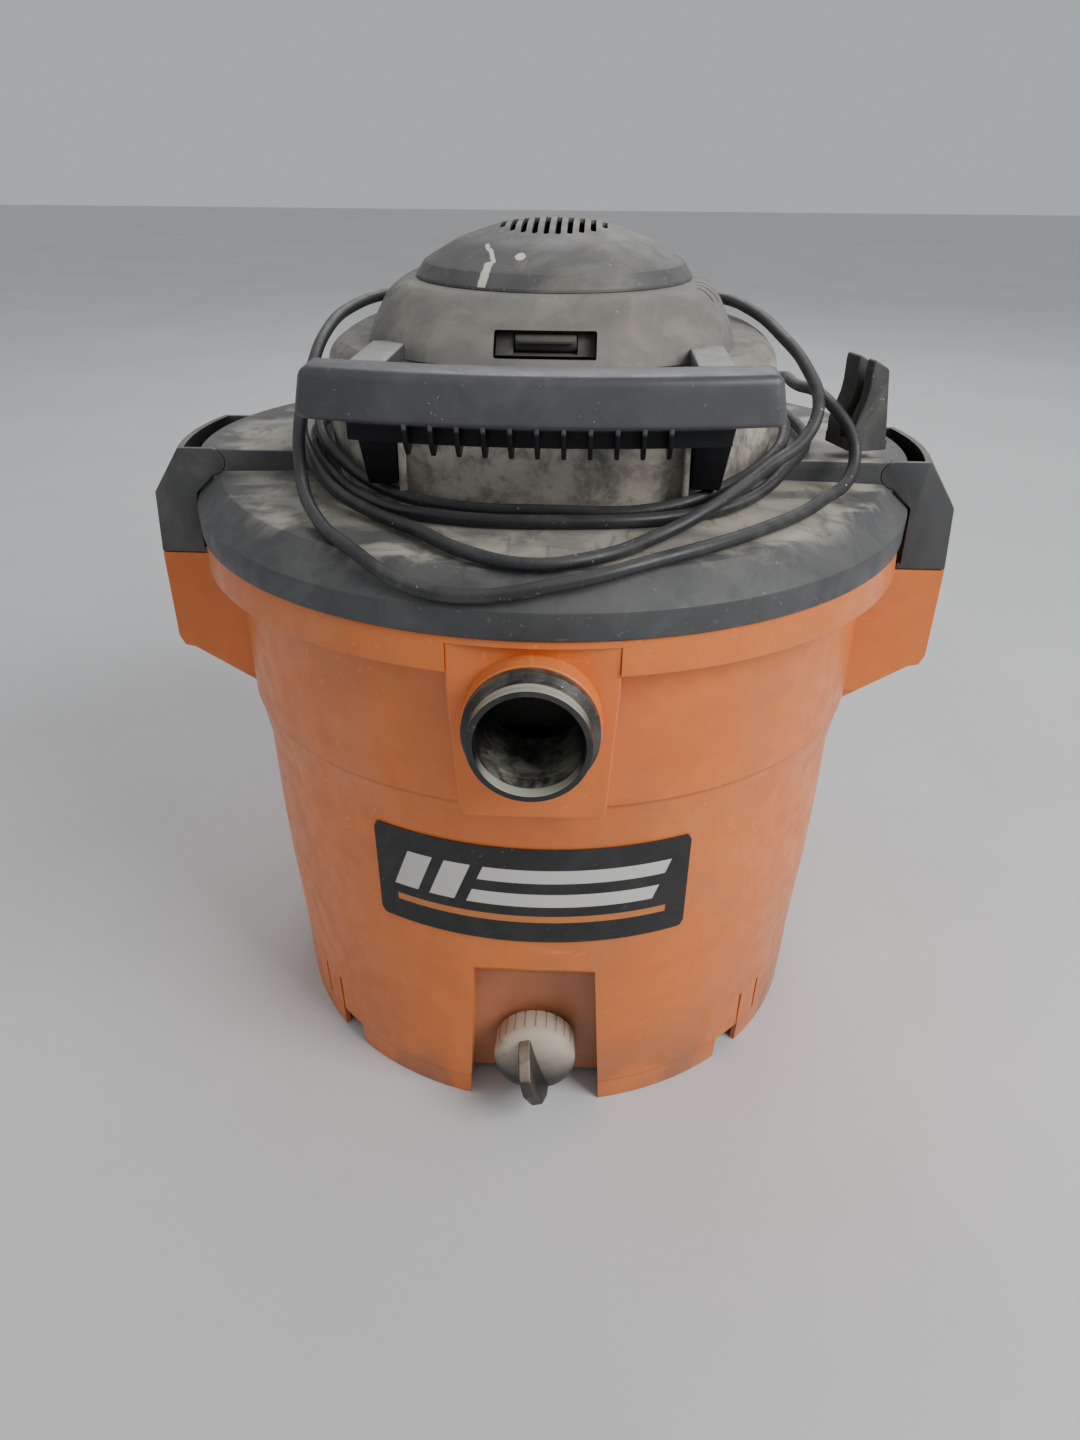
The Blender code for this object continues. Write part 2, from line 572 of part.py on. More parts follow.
def build_latch(looks, side, word):
    wall = ((0.2445, 0.4260), (0.2649, 0.3941), (HANDLE_R, 0.3533), (0.2358, 0.3533), (0.2358, 0.3563),
            (HANDLE_R - CHEEK, 0.3563), (0.2609, 0.3941), (0.2405, 0.4260))
    latch = handle_block("latch_" + word, side, wall, look=looks["head"])
    cheek = [(LATCH_AXIS_X + 0.0133, 0.3533), (LATCH_AXIS_X + 0.0133, 0.3938)]
    cheek += arc((LATCH_AXIS_X, LATCH_AXIS_Z), LATCH_EYE_R, 270, 90, 10)
    cheek += [(0.2380, 0.4260), (0.2570, 0.3941), (0.2590, 0.3533)]
    outline = [(side * x, z) for x, z in cheek]
    for end in (-1, 1):
        y_low, y_high = sorted((end * (HANDLE_HALF + 0.006), end * (HANDLE_HALF - CHEEK)))
        join(latch, prism(f"latch_cheek_{word}_{end}", outline, "Y", y_low, y_high))
        pin = lathe(f"latch_pin_{word}_{end}", ((0, -0.0105), (0.0030, -0.0105), (0.0030, -0.0010),
                                                (0, -0.0010)),
                    steps=8, turn=facing((0, end, 0), (side * LATCH_AXIS_X, end * 0.0545, LATCH_AXIS_Z)))
        join(latch, pin)
    trim = ((-HANDLE_HALF, 0.34), (HANDLE_HALF, 0.34), (HANDLE_HALF, plateau_z(HANDLE_HALF)),
            (-HANDLE_HALF, plateau_z(-HANDLE_HALF)))
    keep_inside(latch, prism("latch_trim_" + word, trim, "X", -0.30, 0.30))
    use_manifold(latch)
    move_origin(latch, (side * LATCH_AXIS_X, 0, LATCH_AXIS_Z))


# ---------------------------------------------------------------- power head
def build_head_shells(looks):
    base = shell_loft("motor_base", BASE_RINGS, BASE_POWER, 0.003, looks["cover"])
    over = 0.30
    wedge = ((-HANDLE_HALF - GAP, 0.40), (over, 0.40), (over, plateau_z(over, GAP)),
             (-HANDLE_HALF - GAP, plateau_z(-HANDLE_HALF - GAP, GAP)))
    cut(base, prism("plateau_clear", wedge, "X", -over, over))
    cut(base, lathe("motor_opening", ((0, 0.480), (0.0860, 0.480), (0.0860, 0.50), (0, 0.50)), steps=28))
    duct = ((0, 0.120), (0.0340, 0.120), (0.0340, 0.160), (0, 0.160))
    cut(base, lathe("duct_opening", duct, steps=24, turn=facing((0, 1, 0), (0, 0, EXHAUST_Z))))
    sleeve_hole = ((0, -SLEEVE_LENGTH - 0.01), (0.0062, -SLEEVE_LENGTH - 0.01), (0.0062, -0.015), (0, -0.015))
    cut(base, lathe("sleeve_hole", sleeve_hole, steps=12, turn=facing(cord_start(), CORD_EXIT)))

    cover = shell_loft("motor_cover", COVER_RINGS, COVER_POWER, 0.0028, looks["cover"])
    cut(cover, lathe("fan_opening", ((0, 0.515), (0.0760, 0.515), (0.0760, 0.53), (0, 0.53)), steps=28))
    cut(cover, box("switch_window", (-0.0283, -0.135, 0.4947), (0.0283, -0.090, 0.5081)))
    for x, y in screw_spots():
        hole = lathe(f"screw_hole_{x:+.3f}_{y:+.3f}", ((0, 0.505), (0.0024, 0.505), (0.0024, 0.53),
                                                       (0, 0.53)),
                     steps=8, turn=Matrix.Translation((x, y, 0)))
        cut(cover, hole)


def screw_spots():
    return [(side * SCREW_X, end * SCREW_Y) for side in (-1, 1) for end in (-1, 1)]


def build_cover_screws(looks):
    profile = ((0, 0.5100), (0.0020, 0.5100), (0.0020, 0.5238), (0.0036, 0.5238), (0.0030, 0.5250),
               (0, 0.5250))
    for number, (x, y) in enumerate(screw_spots(), start=1):
        lathe(f"cover_screw_{number}", profile, looks["steel"], steps=8, turn=Matrix.Translation((x, y, 0)))


def build_vent_cap(looks):
    inner = [(0, CAP_TOP_Z - 0.0025), (0.0330, 0.5513), (0.0590, 0.5425),
             (CAP_CREASE_R - 0.0025, CAP_CREASE_Z - 0.002),
             (CAP_R - 0.003, COVER_TOP_Z + GAP)]
    outer = [(CAP_R, COVER_TOP_Z + GAP), (CAP_R, 0.5255), (CAP_CREASE_R, CAP_CREASE_Z), (0.0600, 0.5452),
             (0.0340, 0.5537), (0, CAP_TOP_Z)]
    cap = lathe("vent_cap", inner + outer, looks["cover"], steps=24)
    middle = (SLOT_COUNT - 1) / 2
    slots = []
    for k in range(SLOT_COUNT):
        x = (k - middle) * SLOT_PITCH
        half = math.sqrt(SLOT_FIELD_R ** 2 - x ** 2)
        slots.append(((x - SLOT_W / 2, SLOT_FIELD_Y - half, 0.535),
                      (x + SLOT_W / 2, SLOT_FIELD_Y + half, 0.565),
                      Matrix.Identity(4)))
    cut(cap, boxes("vent_slots", slots))


def grip_front(x):
    """Y of the grip's front face, bowed forward at the middle."""
    return GRIP_END_Y - GRIP_BOW * (1 - (x / GRIP_HALF) ** 2)


def grip_body(name, inset, low, high, look=None):
    """Bowed bar with slanted ends; inset shrinks it for the channel inside."""
    steps = 10
    rings = []
    for k in range(steps + 1):
        share = 2 * k / steps - 1
        ring = []
        for z, back in ((low, False), (low, True), (high, True), (high, False)):
            slant = 0.0055 * (z - GRIP_LOW_Z) / (GRIP_TOP_Z - GRIP_LOW_Z)
            x = share * (GRIP_HALF - slant - inset)
            front = grip_front(x) + inset + 0.35 * slant
            y = front + GRIP_DEPTH - 2 * inset if back else front
            ring.append((x, y, z))
        rings.append(ring)
    return loft(name, rings, look)


def build_handle(looks):
    handle = grip_body("carry_handle", 0.0, GRIP_LOW_Z, GRIP_TOP_Z, looks["head"])
    cut(handle, grip_body("grip_channel", 0.0035, GRIP_LOW_Z - 0.01, GRIP_TOP_Z - 0.0035))
    middle = (RIB_COUNT - 1) / 2
    for k in range(RIB_COUNT):
        x = (k - middle) * RIB_PITCH
        front = grip_front(x)
        back = front + GRIP_DEPTH - 0.002
        outline = ((front + 0.002, GRIP_LOW_Z + 0.004), (front + 0.002, GRIP_TOP_Z - 0.002),
                   (back, GRIP_TOP_Z - 0.002), (back, GRIP_LOW_Z - 0.008),
                   (front + 0.012, GRIP_LOW_Z - 0.014), (front + 0.0045, GRIP_LOW_Z - 0.006))
        join(handle, prism(f"grip_rib_{k}", outline, "X", x - 0.0012, x + 0.0012))
    arm = ((-0.1800, 0.4880), (-0.1800, 0.5005), (-0.0950, 0.4985), (-0.0950, 0.4840), (-0.1400, 0.4840))
    leg = ((-0.1280, 0.4248), (-0.1310, 0.4850), (-0.1310, 0.4980), (-0.0950, 0.4980), (-0.0950, 0.4302),
           (-0.1120, 0.4302), (-0.1210, 0.4248))
    for side in (-1, 1):
        join(handle, prism(f"handle_arm_{side}", arm, "X", *sorted((side * ARM_X[0], side * ARM_X[1]))))
        join(handle, prism(f"handle_leg_{side}", leg, "X", *sorted((side * LEG_X[0], side * LEG_X[1]))))
    cut(handle, grown_solid("handle_seat_low", BASE_RINGS, BASE_POWER))
    cut(handle, grown_solid("handle_seat_high", COVER_RINGS, COVER_POWER))
    use_manifold(handle)


def build_switch(looks):
    outline = ((-0.1170, 0.4950), (-0.1050, 0.5078), (-0.0900, 0.5078), (-0.0900, 0.4950))
    housing = prism("switch_housing", outline, "X", -0.0280, 0.0280, looks["trim"])
    spot = (0, -0.1085, 0.5008)
    barrel = facing((1, 0, 0), spot)
    clear = lathe("rocker_space", ((0, -0.0178), (0.0052, -0.0178), (0.0052, 0.0178), (0, 0.0178)),
                  steps=24, turn=barrel)
    front = box("rocker_mouth", (-0.0178, -0.130, 0.4958), (0.0178, -0.1085, 0.5058))
    cut(housing, clear, front)
    drum_shape = ((0, -0.0172), (0.0048, -0.0172), (0.0048, 0.0172), (0, 0.0172))
    rocker = lathe("switch_rocker", drum_shape, looks["switch"], steps=20, turn=barrel)
    nub = box("rocker_nub", (-0.0160, -0.1165, 0.5014), (0.0160, -0.1085, 0.5036))
    join(rocker, nub)
    move_origin(rocker, spot)


def build_accessory_holder(looks):
    """Two curved ribs on a foot that cradle a tool, turned a little towards the front."""
    outline = [(0.2125, 0.4290), (0.2068, 0.4780), (0.1950, 0.4850)]
    outline += [(0.1945, 0.4650), (0.1920, 0.4560), (0.1890, 0.4490), (0.1875, 0.4440), (0.1875, 0.4290)]
    holder = prism("accessory_holder", outline, "Y", -0.0480, -0.0400, looks["head"])
    join(holder, prism("holder_rear_rib", outline, "Y", -0.0320, -0.0170))
    join(holder, box("holder_foot", (0.1875, -0.0480, 0.4290), (0.2125, -0.0170, 0.4350)))
    back = ((0.2030, 0.4300), (0.2115, 0.4300), (0.2070, 0.4720), (0.2030, 0.4720))
    join(holder, prism("holder_back", back, "Y", -0.0480, -0.0170))
    holder.data.transform(Matrix.Translation(HOLDER_SPOT) @ Matrix.Rotation(math.radians(HOLDER_TURN), 4, "Z")
                          @ Matrix.Translation([-along for along in HOLDER_SPOT]))
    clear = ((-0.09, 0.40), (0.03, 0.40), (0.03, plateau_z(0.03, GAP)), (-0.09, plateau_z(-0.09, GAP)))
    cut(holder, prism("holder_seat", clear, "X", 0.15, 0.25))


def build_exhaust_port(looks):
    aim = facing((0, 1, 0), (0, 0, EXHAUST_Z))
    tube = ((PORT_BORE_R, 0.1250), (0.0337, 0.1250), (0.0337, 0.1510), (0.0345, 0.1510), (0.0345, 0.2500),
            (PORT_R, 0.2530), (PORT_R, PORT_REACH), (PORT_BORE_R, PORT_REACH))
    port = lathe("exhaust_port", tube, looks["trim"], steps=32, closed=True, turn=aim)
    cut(port, box("port_seat", (-0.045, 0.10, 0.38), (0.045, 0.28, plateau_z(0.12, GAP))))


# ---------------------------------------------------------------- blower and motor
def build_blower(looks):
    housing = ((BLOWER_R, DECK_Z + GAP), (BLOWER_R, 0.4460), (0.0100, 0.4460), (0.0100, 0.4432),
               (0.0970, 0.4432),
               (0.0970, DECK_Z + GAP))
    lathe("blower_housing", housing, looks["inner"], steps=28, closed=True)
    plate = ((0.0280, DECK_Z - WALL), (LID_HOLE_R - GAP * 2, DECK_Z - WALL),
             (LID_HOLE_R - GAP * 2, DECK_Z + GAP),
             (0.0780, DECK_Z + GAP), (0.0780, DECK_Z + 0.0025), (0.0280, DECK_Z + 0.0025))
    lathe("blower_plate", plate, looks["steel"], steps=28, closed=True)
    disc = ((0.0063, 0.4375), (IMPELLER_R, 0.4375), (IMPELLER_R, 0.4395), (0.0063, 0.4395))
    wheel = lathe("impeller", disc, looks["alloy"], steps=20, closed=True)
    shroud = ((0.0330, 0.4170), (IMPELLER_R, 0.4190), (IMPELLER_R, 0.4208), (0.0330, 0.4188))
    for k in range(BLADES):
        points = []
        for share in (0.0, 0.5, 1.0):
            radius = 0.0320 + (IMPELLER_R - 0.0340) * share
            t = 2 * math.pi * k / BLADES + 0.75 * share
            points.append((radius, t))
        front = [(r * math.cos(t), r * math.sin(t)) for r, t in points]
        back = [(r * math.cos(t + 0.0016 / r), r * math.sin(t + 0.0016 / r)) for r, t in reversed(points)]
        join(wheel, prism(f"impeller_blade_{k}", front + back, "Z", 0.4182, 0.4385))
    join(wheel, lathe("impeller_shroud", shroud, steps=20, closed=True))


def build_motor(looks):
    shaft = ((0, 0.4200), (SHAFT_R, 0.4200), (SHAFT_R, 0.5300), (0, 0.5300))
    lathe("motor_shaft", shaft, looks["steel"], steps=16)
    frame = ((0.0135, 0.4463), (0.0700, 0.4463), (0.0700, 0.4493), (0.0508, 0.4493), (0.0508, 0.5060),
             (0.0478, 0.5060), (0.0478, 0.4493), (0.0170, 0.4493), (0.0170, 0.4560), (0.0135, 0.4560))
    lathe("motor_frame", frame, looks["alloy"], steps=24, closed=True)
    for word, low in (("lower", 0.4468), ("upper", 0.5105)):
        race = ((SHAFT_R + GAP, low), (0.0132, low), (0.0132, low + 0.0075), (SHAFT_R + GAP, low + 0.0075))
        lathe(f"{word}_bearing", race, looks["steel"], steps=16, closed=True)
    iron = ((0.0300, 0.4600), (0.0475, 0.4600), (0.0475, 0.4960), (0.0300, 0.4960))
    stator = lathe("motor_stator", iron, looks["steel"], steps=24, closed=True)
    for side in (-1, 1):
        coil = box(f"field_coil_{side}", (-0.022, side * 0.036 - 0.004, 0.4520),
                   (0.022, side * 0.036 + 0.004, 0.5020))
        join(stator, coil)
    core = ((SHAFT_R + GAP, 0.4615), (0.0288, 0.4615), (0.0288, 0.4940), (SHAFT_R + GAP, 0.4940))
    lathe("armature_core", core, looks["copper"], steps=16, closed=True)
    bars = ((SHAFT_R + GAP, 0.4960), (0.0140, 0.4960), (0.0140, 0.5055), (SHAFT_R + GAP, 0.5055))
    lathe("commutator", bars, looks["copper"], steps=16, closed=True)
    for side, word in ((-1, "left"), (1, "right")):
        x_low, x_high = sorted((side * 0.0143, side * 0.0290))
        box(f"brush_{word}", (x_low, -0.0035, 0.4985), (x_high, 0.0035, 0.5045), looks["carbon"])
    bracket = ((0.0135, 0.5100), (0.0135, 0.5190), (0.0165, 0.5190), (0.0165, 0.5093), (0.0508, 0.5093),
               (0.0508, 0.5063), (0.0165, 0.5063), (0.0135, 0.5063))
    lathe("end_bracket", bracket, looks["alloy"], steps=24, closed=True)
    hub = ((SHAFT_R + GAP, 0.5200), (0.0130, 0.5200), (0.0380, 0.5203), (0.0380, 0.5218), (0.0130, 0.5225),
           (0.0130, 0.5290), (SHAFT_R + GAP, 0.5290))
    fan = lathe("cooling_fan", hub, looks["inner"], steps=18, closed=True)
    for k in range(6):
        vane = box(f"fan_vane_{k}", (0.0120, -0.0010, 0.5212), (0.0375, 0.0010, 0.5285))
        vane.data.transform(Matrix.Rotation(math.radians(60 * k), 4, "Z"))
        join(fan, vane)


# ---------------------------------------------------------------- filter side
def build_filter_side(looks):
    cage = ((0, 0.2485), (CAGE_R - 0.003, 0.2485), (CAGE_R - 0.003, 0.4072), (0.0800, 0.4072),
            (0.0800, 0.4043),
            (CAGE_R, 0.4043), (CAGE_R, 0.2450), (0, 0.2450))
    body = lathe("filter_cage", cage, looks["inner"], steps=24)
    for k in range(4):
        window = box(f"cage_window_{k}", (-0.070, -0.0145, 0.2950), (0.070, 0.0145, 0.3930))
        window.data.transform(Matrix.Rotation(math.radians(45 * k), 4, "Z"))
        cut(body, window)
    stud = ((0, 0.2447), (0.0040, 0.2447), (0.0040, 0.2150), (0, 0.2150))
    lathe("cage_stud", stud, looks["steel"], steps=12)
    cup = ((0, 0.2520), (0.0480, 0.2520), (0.0500, 0.2560), (0.0500, 0.2900), (0.0475, 0.2900),
           (0.0460, 0.2570),
           (0, 0.2560))
    lathe("float_cup", cup, looks["paper"], steps=20)

    bm = bmesh.new()
    rings = []
    for z in (FILTER_LOW_Z, FILTER_TOP_Z):
        for radius in (FILTER_R, FILTER_IN_R + 0.004):
            ring = []
            for k in range(2 * PLEATS):
                t = math.pi * k / PLEATS
                reach = radius - (0.0 if k % 2 else 0.0040)
                ring.append(bm.verts.new((reach * math.cos(t), reach * math.sin(t), z)))
            rings.append(ring)
    ring_skin(bm, [rings[0], rings[2], rings[3], rings[1]], closed_along=True)
    finish_mesh("filter_media", bm, looks["paper"], angle=20)
    top = ((0.0612, 0.3960), (0.0850, 0.3960), (0.0850, 0.4037), (0.0612, 0.4037))
    lathe("filter_top_seal", top, looks["rubber"], steps=28, closed=True)
    end = ((0.0055, 0.2340), (0.0850, 0.2340), (0.0850, 0.2417), (0.0055, 0.2417))
    lathe("filter_end_cap", end, looks["rubber"], steps=28, closed=True)
    knob = ((0.0046, 0.2170), (0.0160, 0.2170), (0.0220, 0.2195), (0.0220, 0.2290), (0.0300, 0.2337),
            (0.0046, 0.2337))
    nut = lathe("filter_nut", knob, looks["trim"], steps=16, closed=True)
    for k in range(3):
        ear = box(f"nut_ear_{k}", (0.0150, -0.0030, 0.2190), (0.0330, 0.0030, 0.2325))
        ear.data.transform(Matrix.Rotation(math.radians(120 * k), 4, "Z"))
        join(nut, ear)


# ---------------------------------------------------------------- cord
def cord_start():
    """Direction in which the cord leaves its sleeve."""
    return (Vector(CORD_ROUTE[1]) - Vector(CORD_ROUTE[0])).normalized()


def build_cord(looks):
    run = bpy.data.curves.new("power_cord", "CURVE")
    run.dimensions = "3D"
    run.bevel_depth = CORD_D / 2
    run.bevel_resolution = 2
    run.use_fill_caps = True
    spline = run.splines.new("POLY")
    spline.points.add(len(CORD_ROUTE) - 1)
    for point, spot in zip(spline.points, CORD_ROUTE):
        point.co = (*spot, 1.0)
    run.materials.append(looks["cord"])
    cord = bpy.data.objects.new("power_cord", run)
    bpy.context.scene.collection.objects.link(cord)

    # tapered sleeve where the cord leaves the housing
    sleeve = ((0, -SLEEVE_LENGTH), (0.0059, -SLEEVE_LENGTH), (0.0059, -SLEEVE_LENGTH + 0.012),
              (0.0078, -0.036),
              (0.0048, -GAP), (0, -GAP))
    lathe("cord_strain_relief", sleeve, looks["rubber"], steps=14, turn=facing(cord_start(), CORD_EXIT))

    tip = Vector(CORD_ROUTE[-1])
    aim = (tip - Vector(CORD_ROUTE[-2])).normalized()
    shape = ((0, GAP), (0.0055, GAP), (0.0065, 0.0120), (0.0115, 0.0180), (0.0120, 0.0300), (0, 0.0300))
    plug = lathe("power_plug", shape, looks["rubber"], steps=16, turn=facing(aim, tip))
    across = aim.cross(Vector((0, 0, 1)))
    for offset in (-0.0063, 0.0063):
        blade = box(f"plug_blade_{offset:+.4f}", (-0.0031, -0.0008, 0.0280), (0.0031, 0.0008, PLUG_LENGTH))
        blade.data.transform(Matrix.Translation(across * offset) @ facing(aim, tip))
        join(plug, blade)


def main():
    clear_scene()
    looks = make_looks()
    build_drum(looks)
    build_drum_fittings(looks)
    build_drain_cap(looks)
    build_lid(looks)
    for side, word in ((-1, "left"), (1, "right")):
        build_latch(looks, side, word)
    build_head_shells(looks)
    build_cover_screws(looks)
    build_vent_cap(looks)
    build_handle(looks)
    build_switch(looks)
    build_accessory_holder(looks)
    build_exhaust_port(looks)
    build_blower(looks)
    build_motor(looks)
    build_filter_side(looks)
    build_cord(looks)


main()
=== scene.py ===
"""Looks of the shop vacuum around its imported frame: finer shells, the wound cord and worn, dusty plastics."""
from math import asin, copysign, cos, degrees, pi, radians, sin, sqrt, tan

import bmesh
import bpy
from mathutils import Matrix, Vector


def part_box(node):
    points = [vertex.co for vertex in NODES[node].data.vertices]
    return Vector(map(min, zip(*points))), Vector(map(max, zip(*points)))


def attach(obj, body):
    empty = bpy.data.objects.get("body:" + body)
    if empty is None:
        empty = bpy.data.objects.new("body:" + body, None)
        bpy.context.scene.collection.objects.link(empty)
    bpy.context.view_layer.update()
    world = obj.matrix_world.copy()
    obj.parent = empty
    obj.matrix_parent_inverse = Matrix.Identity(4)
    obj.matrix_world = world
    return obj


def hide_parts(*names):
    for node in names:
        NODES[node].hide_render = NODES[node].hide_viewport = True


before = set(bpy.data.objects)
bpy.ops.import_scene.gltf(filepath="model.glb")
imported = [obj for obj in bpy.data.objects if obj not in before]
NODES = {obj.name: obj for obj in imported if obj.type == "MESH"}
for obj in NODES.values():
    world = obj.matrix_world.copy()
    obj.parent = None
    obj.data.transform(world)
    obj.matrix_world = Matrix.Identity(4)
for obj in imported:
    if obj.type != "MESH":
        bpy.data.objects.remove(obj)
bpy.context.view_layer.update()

# ---- dimensions, as in the CAD
WALL = 0.0035
DRUM_OUTER = ((0.1976, 0.0), (0.1986, 0.017), (0.2006, 0.064), (0.2049, 0.121), (0.2073, 0.17),
              (0.2087, 0.228), (0.2141, 0.2612), (0.2151, 0.2622), (0.2165, 0.3725))
FLOOR_Z = 0.022
RIM_Z = 0.3765
RIM_R = 0.2338
BAND_R = 0.2349
BAND_Z = 0.3557
BAND_T = 0.0027
HANDLE_HALF = 0.0548
HANDLE_TOP_Z = 0.3523
HANDLE_LOW_Z = 0.2837
HANDLE_R = 0.2665
PANEL_Y = -0.229
RECESS_HALF_LOW = 0.0455
RECESS_HALF_TOP = 0.0394
RECESS_TOP_Z = 0.13
RECESS_Y = -0.17
DRAIN_Z = 0.0385
WING_TURN = 107
FLUTES = 24
CASTER_ANGLES = (-45, -135, 45, 135)
SLOT_OFFSETS = (3.0, 9.4)
LABEL_LOW_Z = 0.1555
LABEL_TOP_Z = 0.2285
LABEL_CENTRE = -90.9
LABEL_HALF = 28.1
LABEL_LIFT = 0.0004
LABEL_T = 0.0006
DRUM_TAPER = 0.0254  # growth of the drum's radius with height at the label
PORT_BORE_R = 0.02875
PORT_R = 0.033
PORT_REACH = 0.262
INLET_Z = 0.33
EXHAUST_Z = 0.449
LID_R = 0.2365
CREASE_Z = 0.393
SHOULDER_R = 0.219
SHOULDER_Z = 0.409
DECK_Z = 0.411
PLATEAU_R = 0.2317
PLATEAU_Z = 0.4212  # height of the plateau on the axis
PLATEAU_SLOPE = 0.04
WELL_R = 0.103
LATCH_AXIS_X = 0.2185
LATCH_AXIS_Z = 0.415
LATCH_EYE_R = 0.0084
HINGE_Y = 0.0545
LATCH_GAP = 0.0006
CHEEK = 0.004
BASE_RINGS = ((0.4113, 0.14, 0.1265, 0.148), (0.435, 0.143, 0.1275, 0.15),
    (0.472, 0.1425, 0.127, 0.1495), (0.485, 0.1395, 0.1265, 0.1465), (0.491, 0.131, 0.1255, 0.139))
BASE_POWER = 2.6  # how square the head's base is, seen from above
COVER_RINGS = ((0.4913, 0.1125, 0.1285, 0.126), (0.5, 0.1107, 0.1225, 0.1235),
    (0.509, 0.1066, 0.1125, 0.118), (0.517, 0.102, 0.103, 0.111), (0.5215, 0.0968, 0.0965, 0.103),
    (0.5235, 0.0915, 0.0915, 0.095))
COVER_POWER = 3.0
COVER_SCREW = 0.0564  # x and y of the four cover screws
GRIP_HALF = 0.1258
GRIP_END_Y = -0.188
GRIP_BOW = 0.017
GRIP_DEPTH = 0.03
GRIP_TOP_Z = 0.5012
GRIP_LOW_Z = 0.4717
GRIP_EDGE_Z = 0.4752  # lower edge of the grip's shell, above its ribs
RIB_COUNT = 11
RIB_PITCH = 0.0133
RIB_WALL_HALF = 0.0985
RIB_WALL_LOW_Z = 0.4645
RIB_WALL_TOP_Z = 0.499
ARM_X = (0.08, 0.1)
LEG_X = (0.084, 0.111)
LEG_FOOT_X = 0.101  # outer side of a leg at its foot
HOLDER_SPOT = (0.2068, -0.048, 0.0)
HOLDER_TURN = 20
FINE = 160  # sides of the large turned shells
SHARP_ANGLE = 32  # edges that turn by more are drawn sharp

CORD_D = 0.0076
CORD_STEPS = (  # along the cord, in tenths of a millimetre
    # out of the sleeve and once round, lowest against the head
    (-860, 1740, 4370), (-933, 1806, 4354), (-1109, 1897, 4305), (-1300, 1881, 4245), (-1470, 1740, 4195),
    (-1610, 1150, 4212), (-1600, 350, 4255), (-1510, -450, 4290), (-1390, -810, 4250), (-1020, -1290, 4155),
    (-620, -1530, 4154), (100, -1600, 4154), (840, -1430, 4155), (1200, -1170, 4175), (1490, -770, 4285),
    (1640, -330, 4290), (1690, 300, 4255), (1620, 850, 4250), (1370, 1270, 4360), (920, 1500, 4640),
    (300, 1640, 4880), (-300, 1640, 4880),
    # second turn, close to the head
    (-900, 1510, 4660), (-1370, 1130, 4390), (-1520, 350, 4345), (-1470, -450, 4380), (-1280, -885, 4315),
    (-990, -1150, 4205), (-600, -1350, 4160), (30, -1420, 4154), (670, -1350, 4160), (1050, -1130, 4225),
    (1340, -790, 4300), (1510, -280, 4345), (1540, 350, 4345), (1480, 950, 4400), (1210, 1430, 4590),
    (760, 1720, 4790), (220, 1770, 4890),
    # third turn, dropping to the front edge of the lid
    (-350, 1735, 4885), (-900, 1640, 4740), (-1430, 1310, 4490), (-1690, 400, 4370), (-1600, -400, 4410),
    (-1490, -800, 4350), (-1270, -1170, 4210), (-970, -1500, 4160), (-671, -1771, 4152), (-353, -2090, 4145),
    (-30, -2213, 4132), (300, -2130, 4145), (620, -1840, 4160), (939, -1553, 4240), (1300, -1130, 4360),
    (1540, -880, 4470), (1620, -700, 4620), (1570, -430, 4780), (1460, -80, 4900), (1330, 380, 4980),
    (1120, 920, 5000),
    # top turn, falling outside the others at the front
    (650, 1370, 4990), (-650, 1370, 4990), (-1180, 920, 5000), (-1400, 430, 4970), (-1475, -80, 4885),
    (-1485, -520, 4720), (-1480, -880, 4530), (-1440, -1140, 4300), (-1256, -1600, 4160), (-953, -2040, 4120),
    (-655, -2255, 4030), (-336, -2340, 4005), (123, -2310, 4066), (637, -2115, 4140), (1212, -1641, 4150),
    (1630, -1120, 4160), (1860, -770, 4240), (1870, -620, 4400), (1750, -450, 4560), (1640, 200, 4545),
    (1650, 1100, 4420), (1480, 1560, 4275), (1060, 1830, 4275),
)
CORD_ROUTE = [tuple(step / 10000 for step in spot) for spot in CORD_STEPS]
CORD_EXIT = CORD_ROUTE[0]
SLEEVE_LENGTH = 0.05
PLUG_LENGTH = 0.046


# ---- mesh helpers
def smooth(mesh):
    mesh.shade_smooth()
    mesh.set_sharp_from_angle(angle=radians(SHARP_ANGLE))


def finish_mesh(name, bm):
    bmesh.ops.remove_doubles(bm, verts=bm.verts, dist=0.000005)
    bmesh.ops.recalc_face_normals(bm, faces=bm.faces)
    mesh = bpy.data.meshes.new(name)
    bm.to_mesh(mesh)
    bm.free()
    smooth(mesh)
    return show(name, mesh)


def show(name, data):
    made = bpy.data.objects.new(name, data)
    bpy.context.scene.collection.objects.link(made)
    return made


def bridge(bm, a, b):
    for k in range(max(len(a), len(b))):
        corners = [a[k % len(a)], a[(k + 1) % len(a)], b[(k + 1) % len(b)], b[k % len(b)]]
        unique = list(dict.fromkeys(corners))
        if len(unique) > 2:
            bm.faces.new(unique)


def ring_skin(bm, rings, closed_along=False):
    for a, b in zip(rings, rings[1:]):
        bridge(bm, a, b)
    if closed_along:
        bridge(bm, rings[-1], rings[0])
        return
    for end in (rings[0], rings[-1]):
        if len(end) > 2:
            bm.faces.new(end)


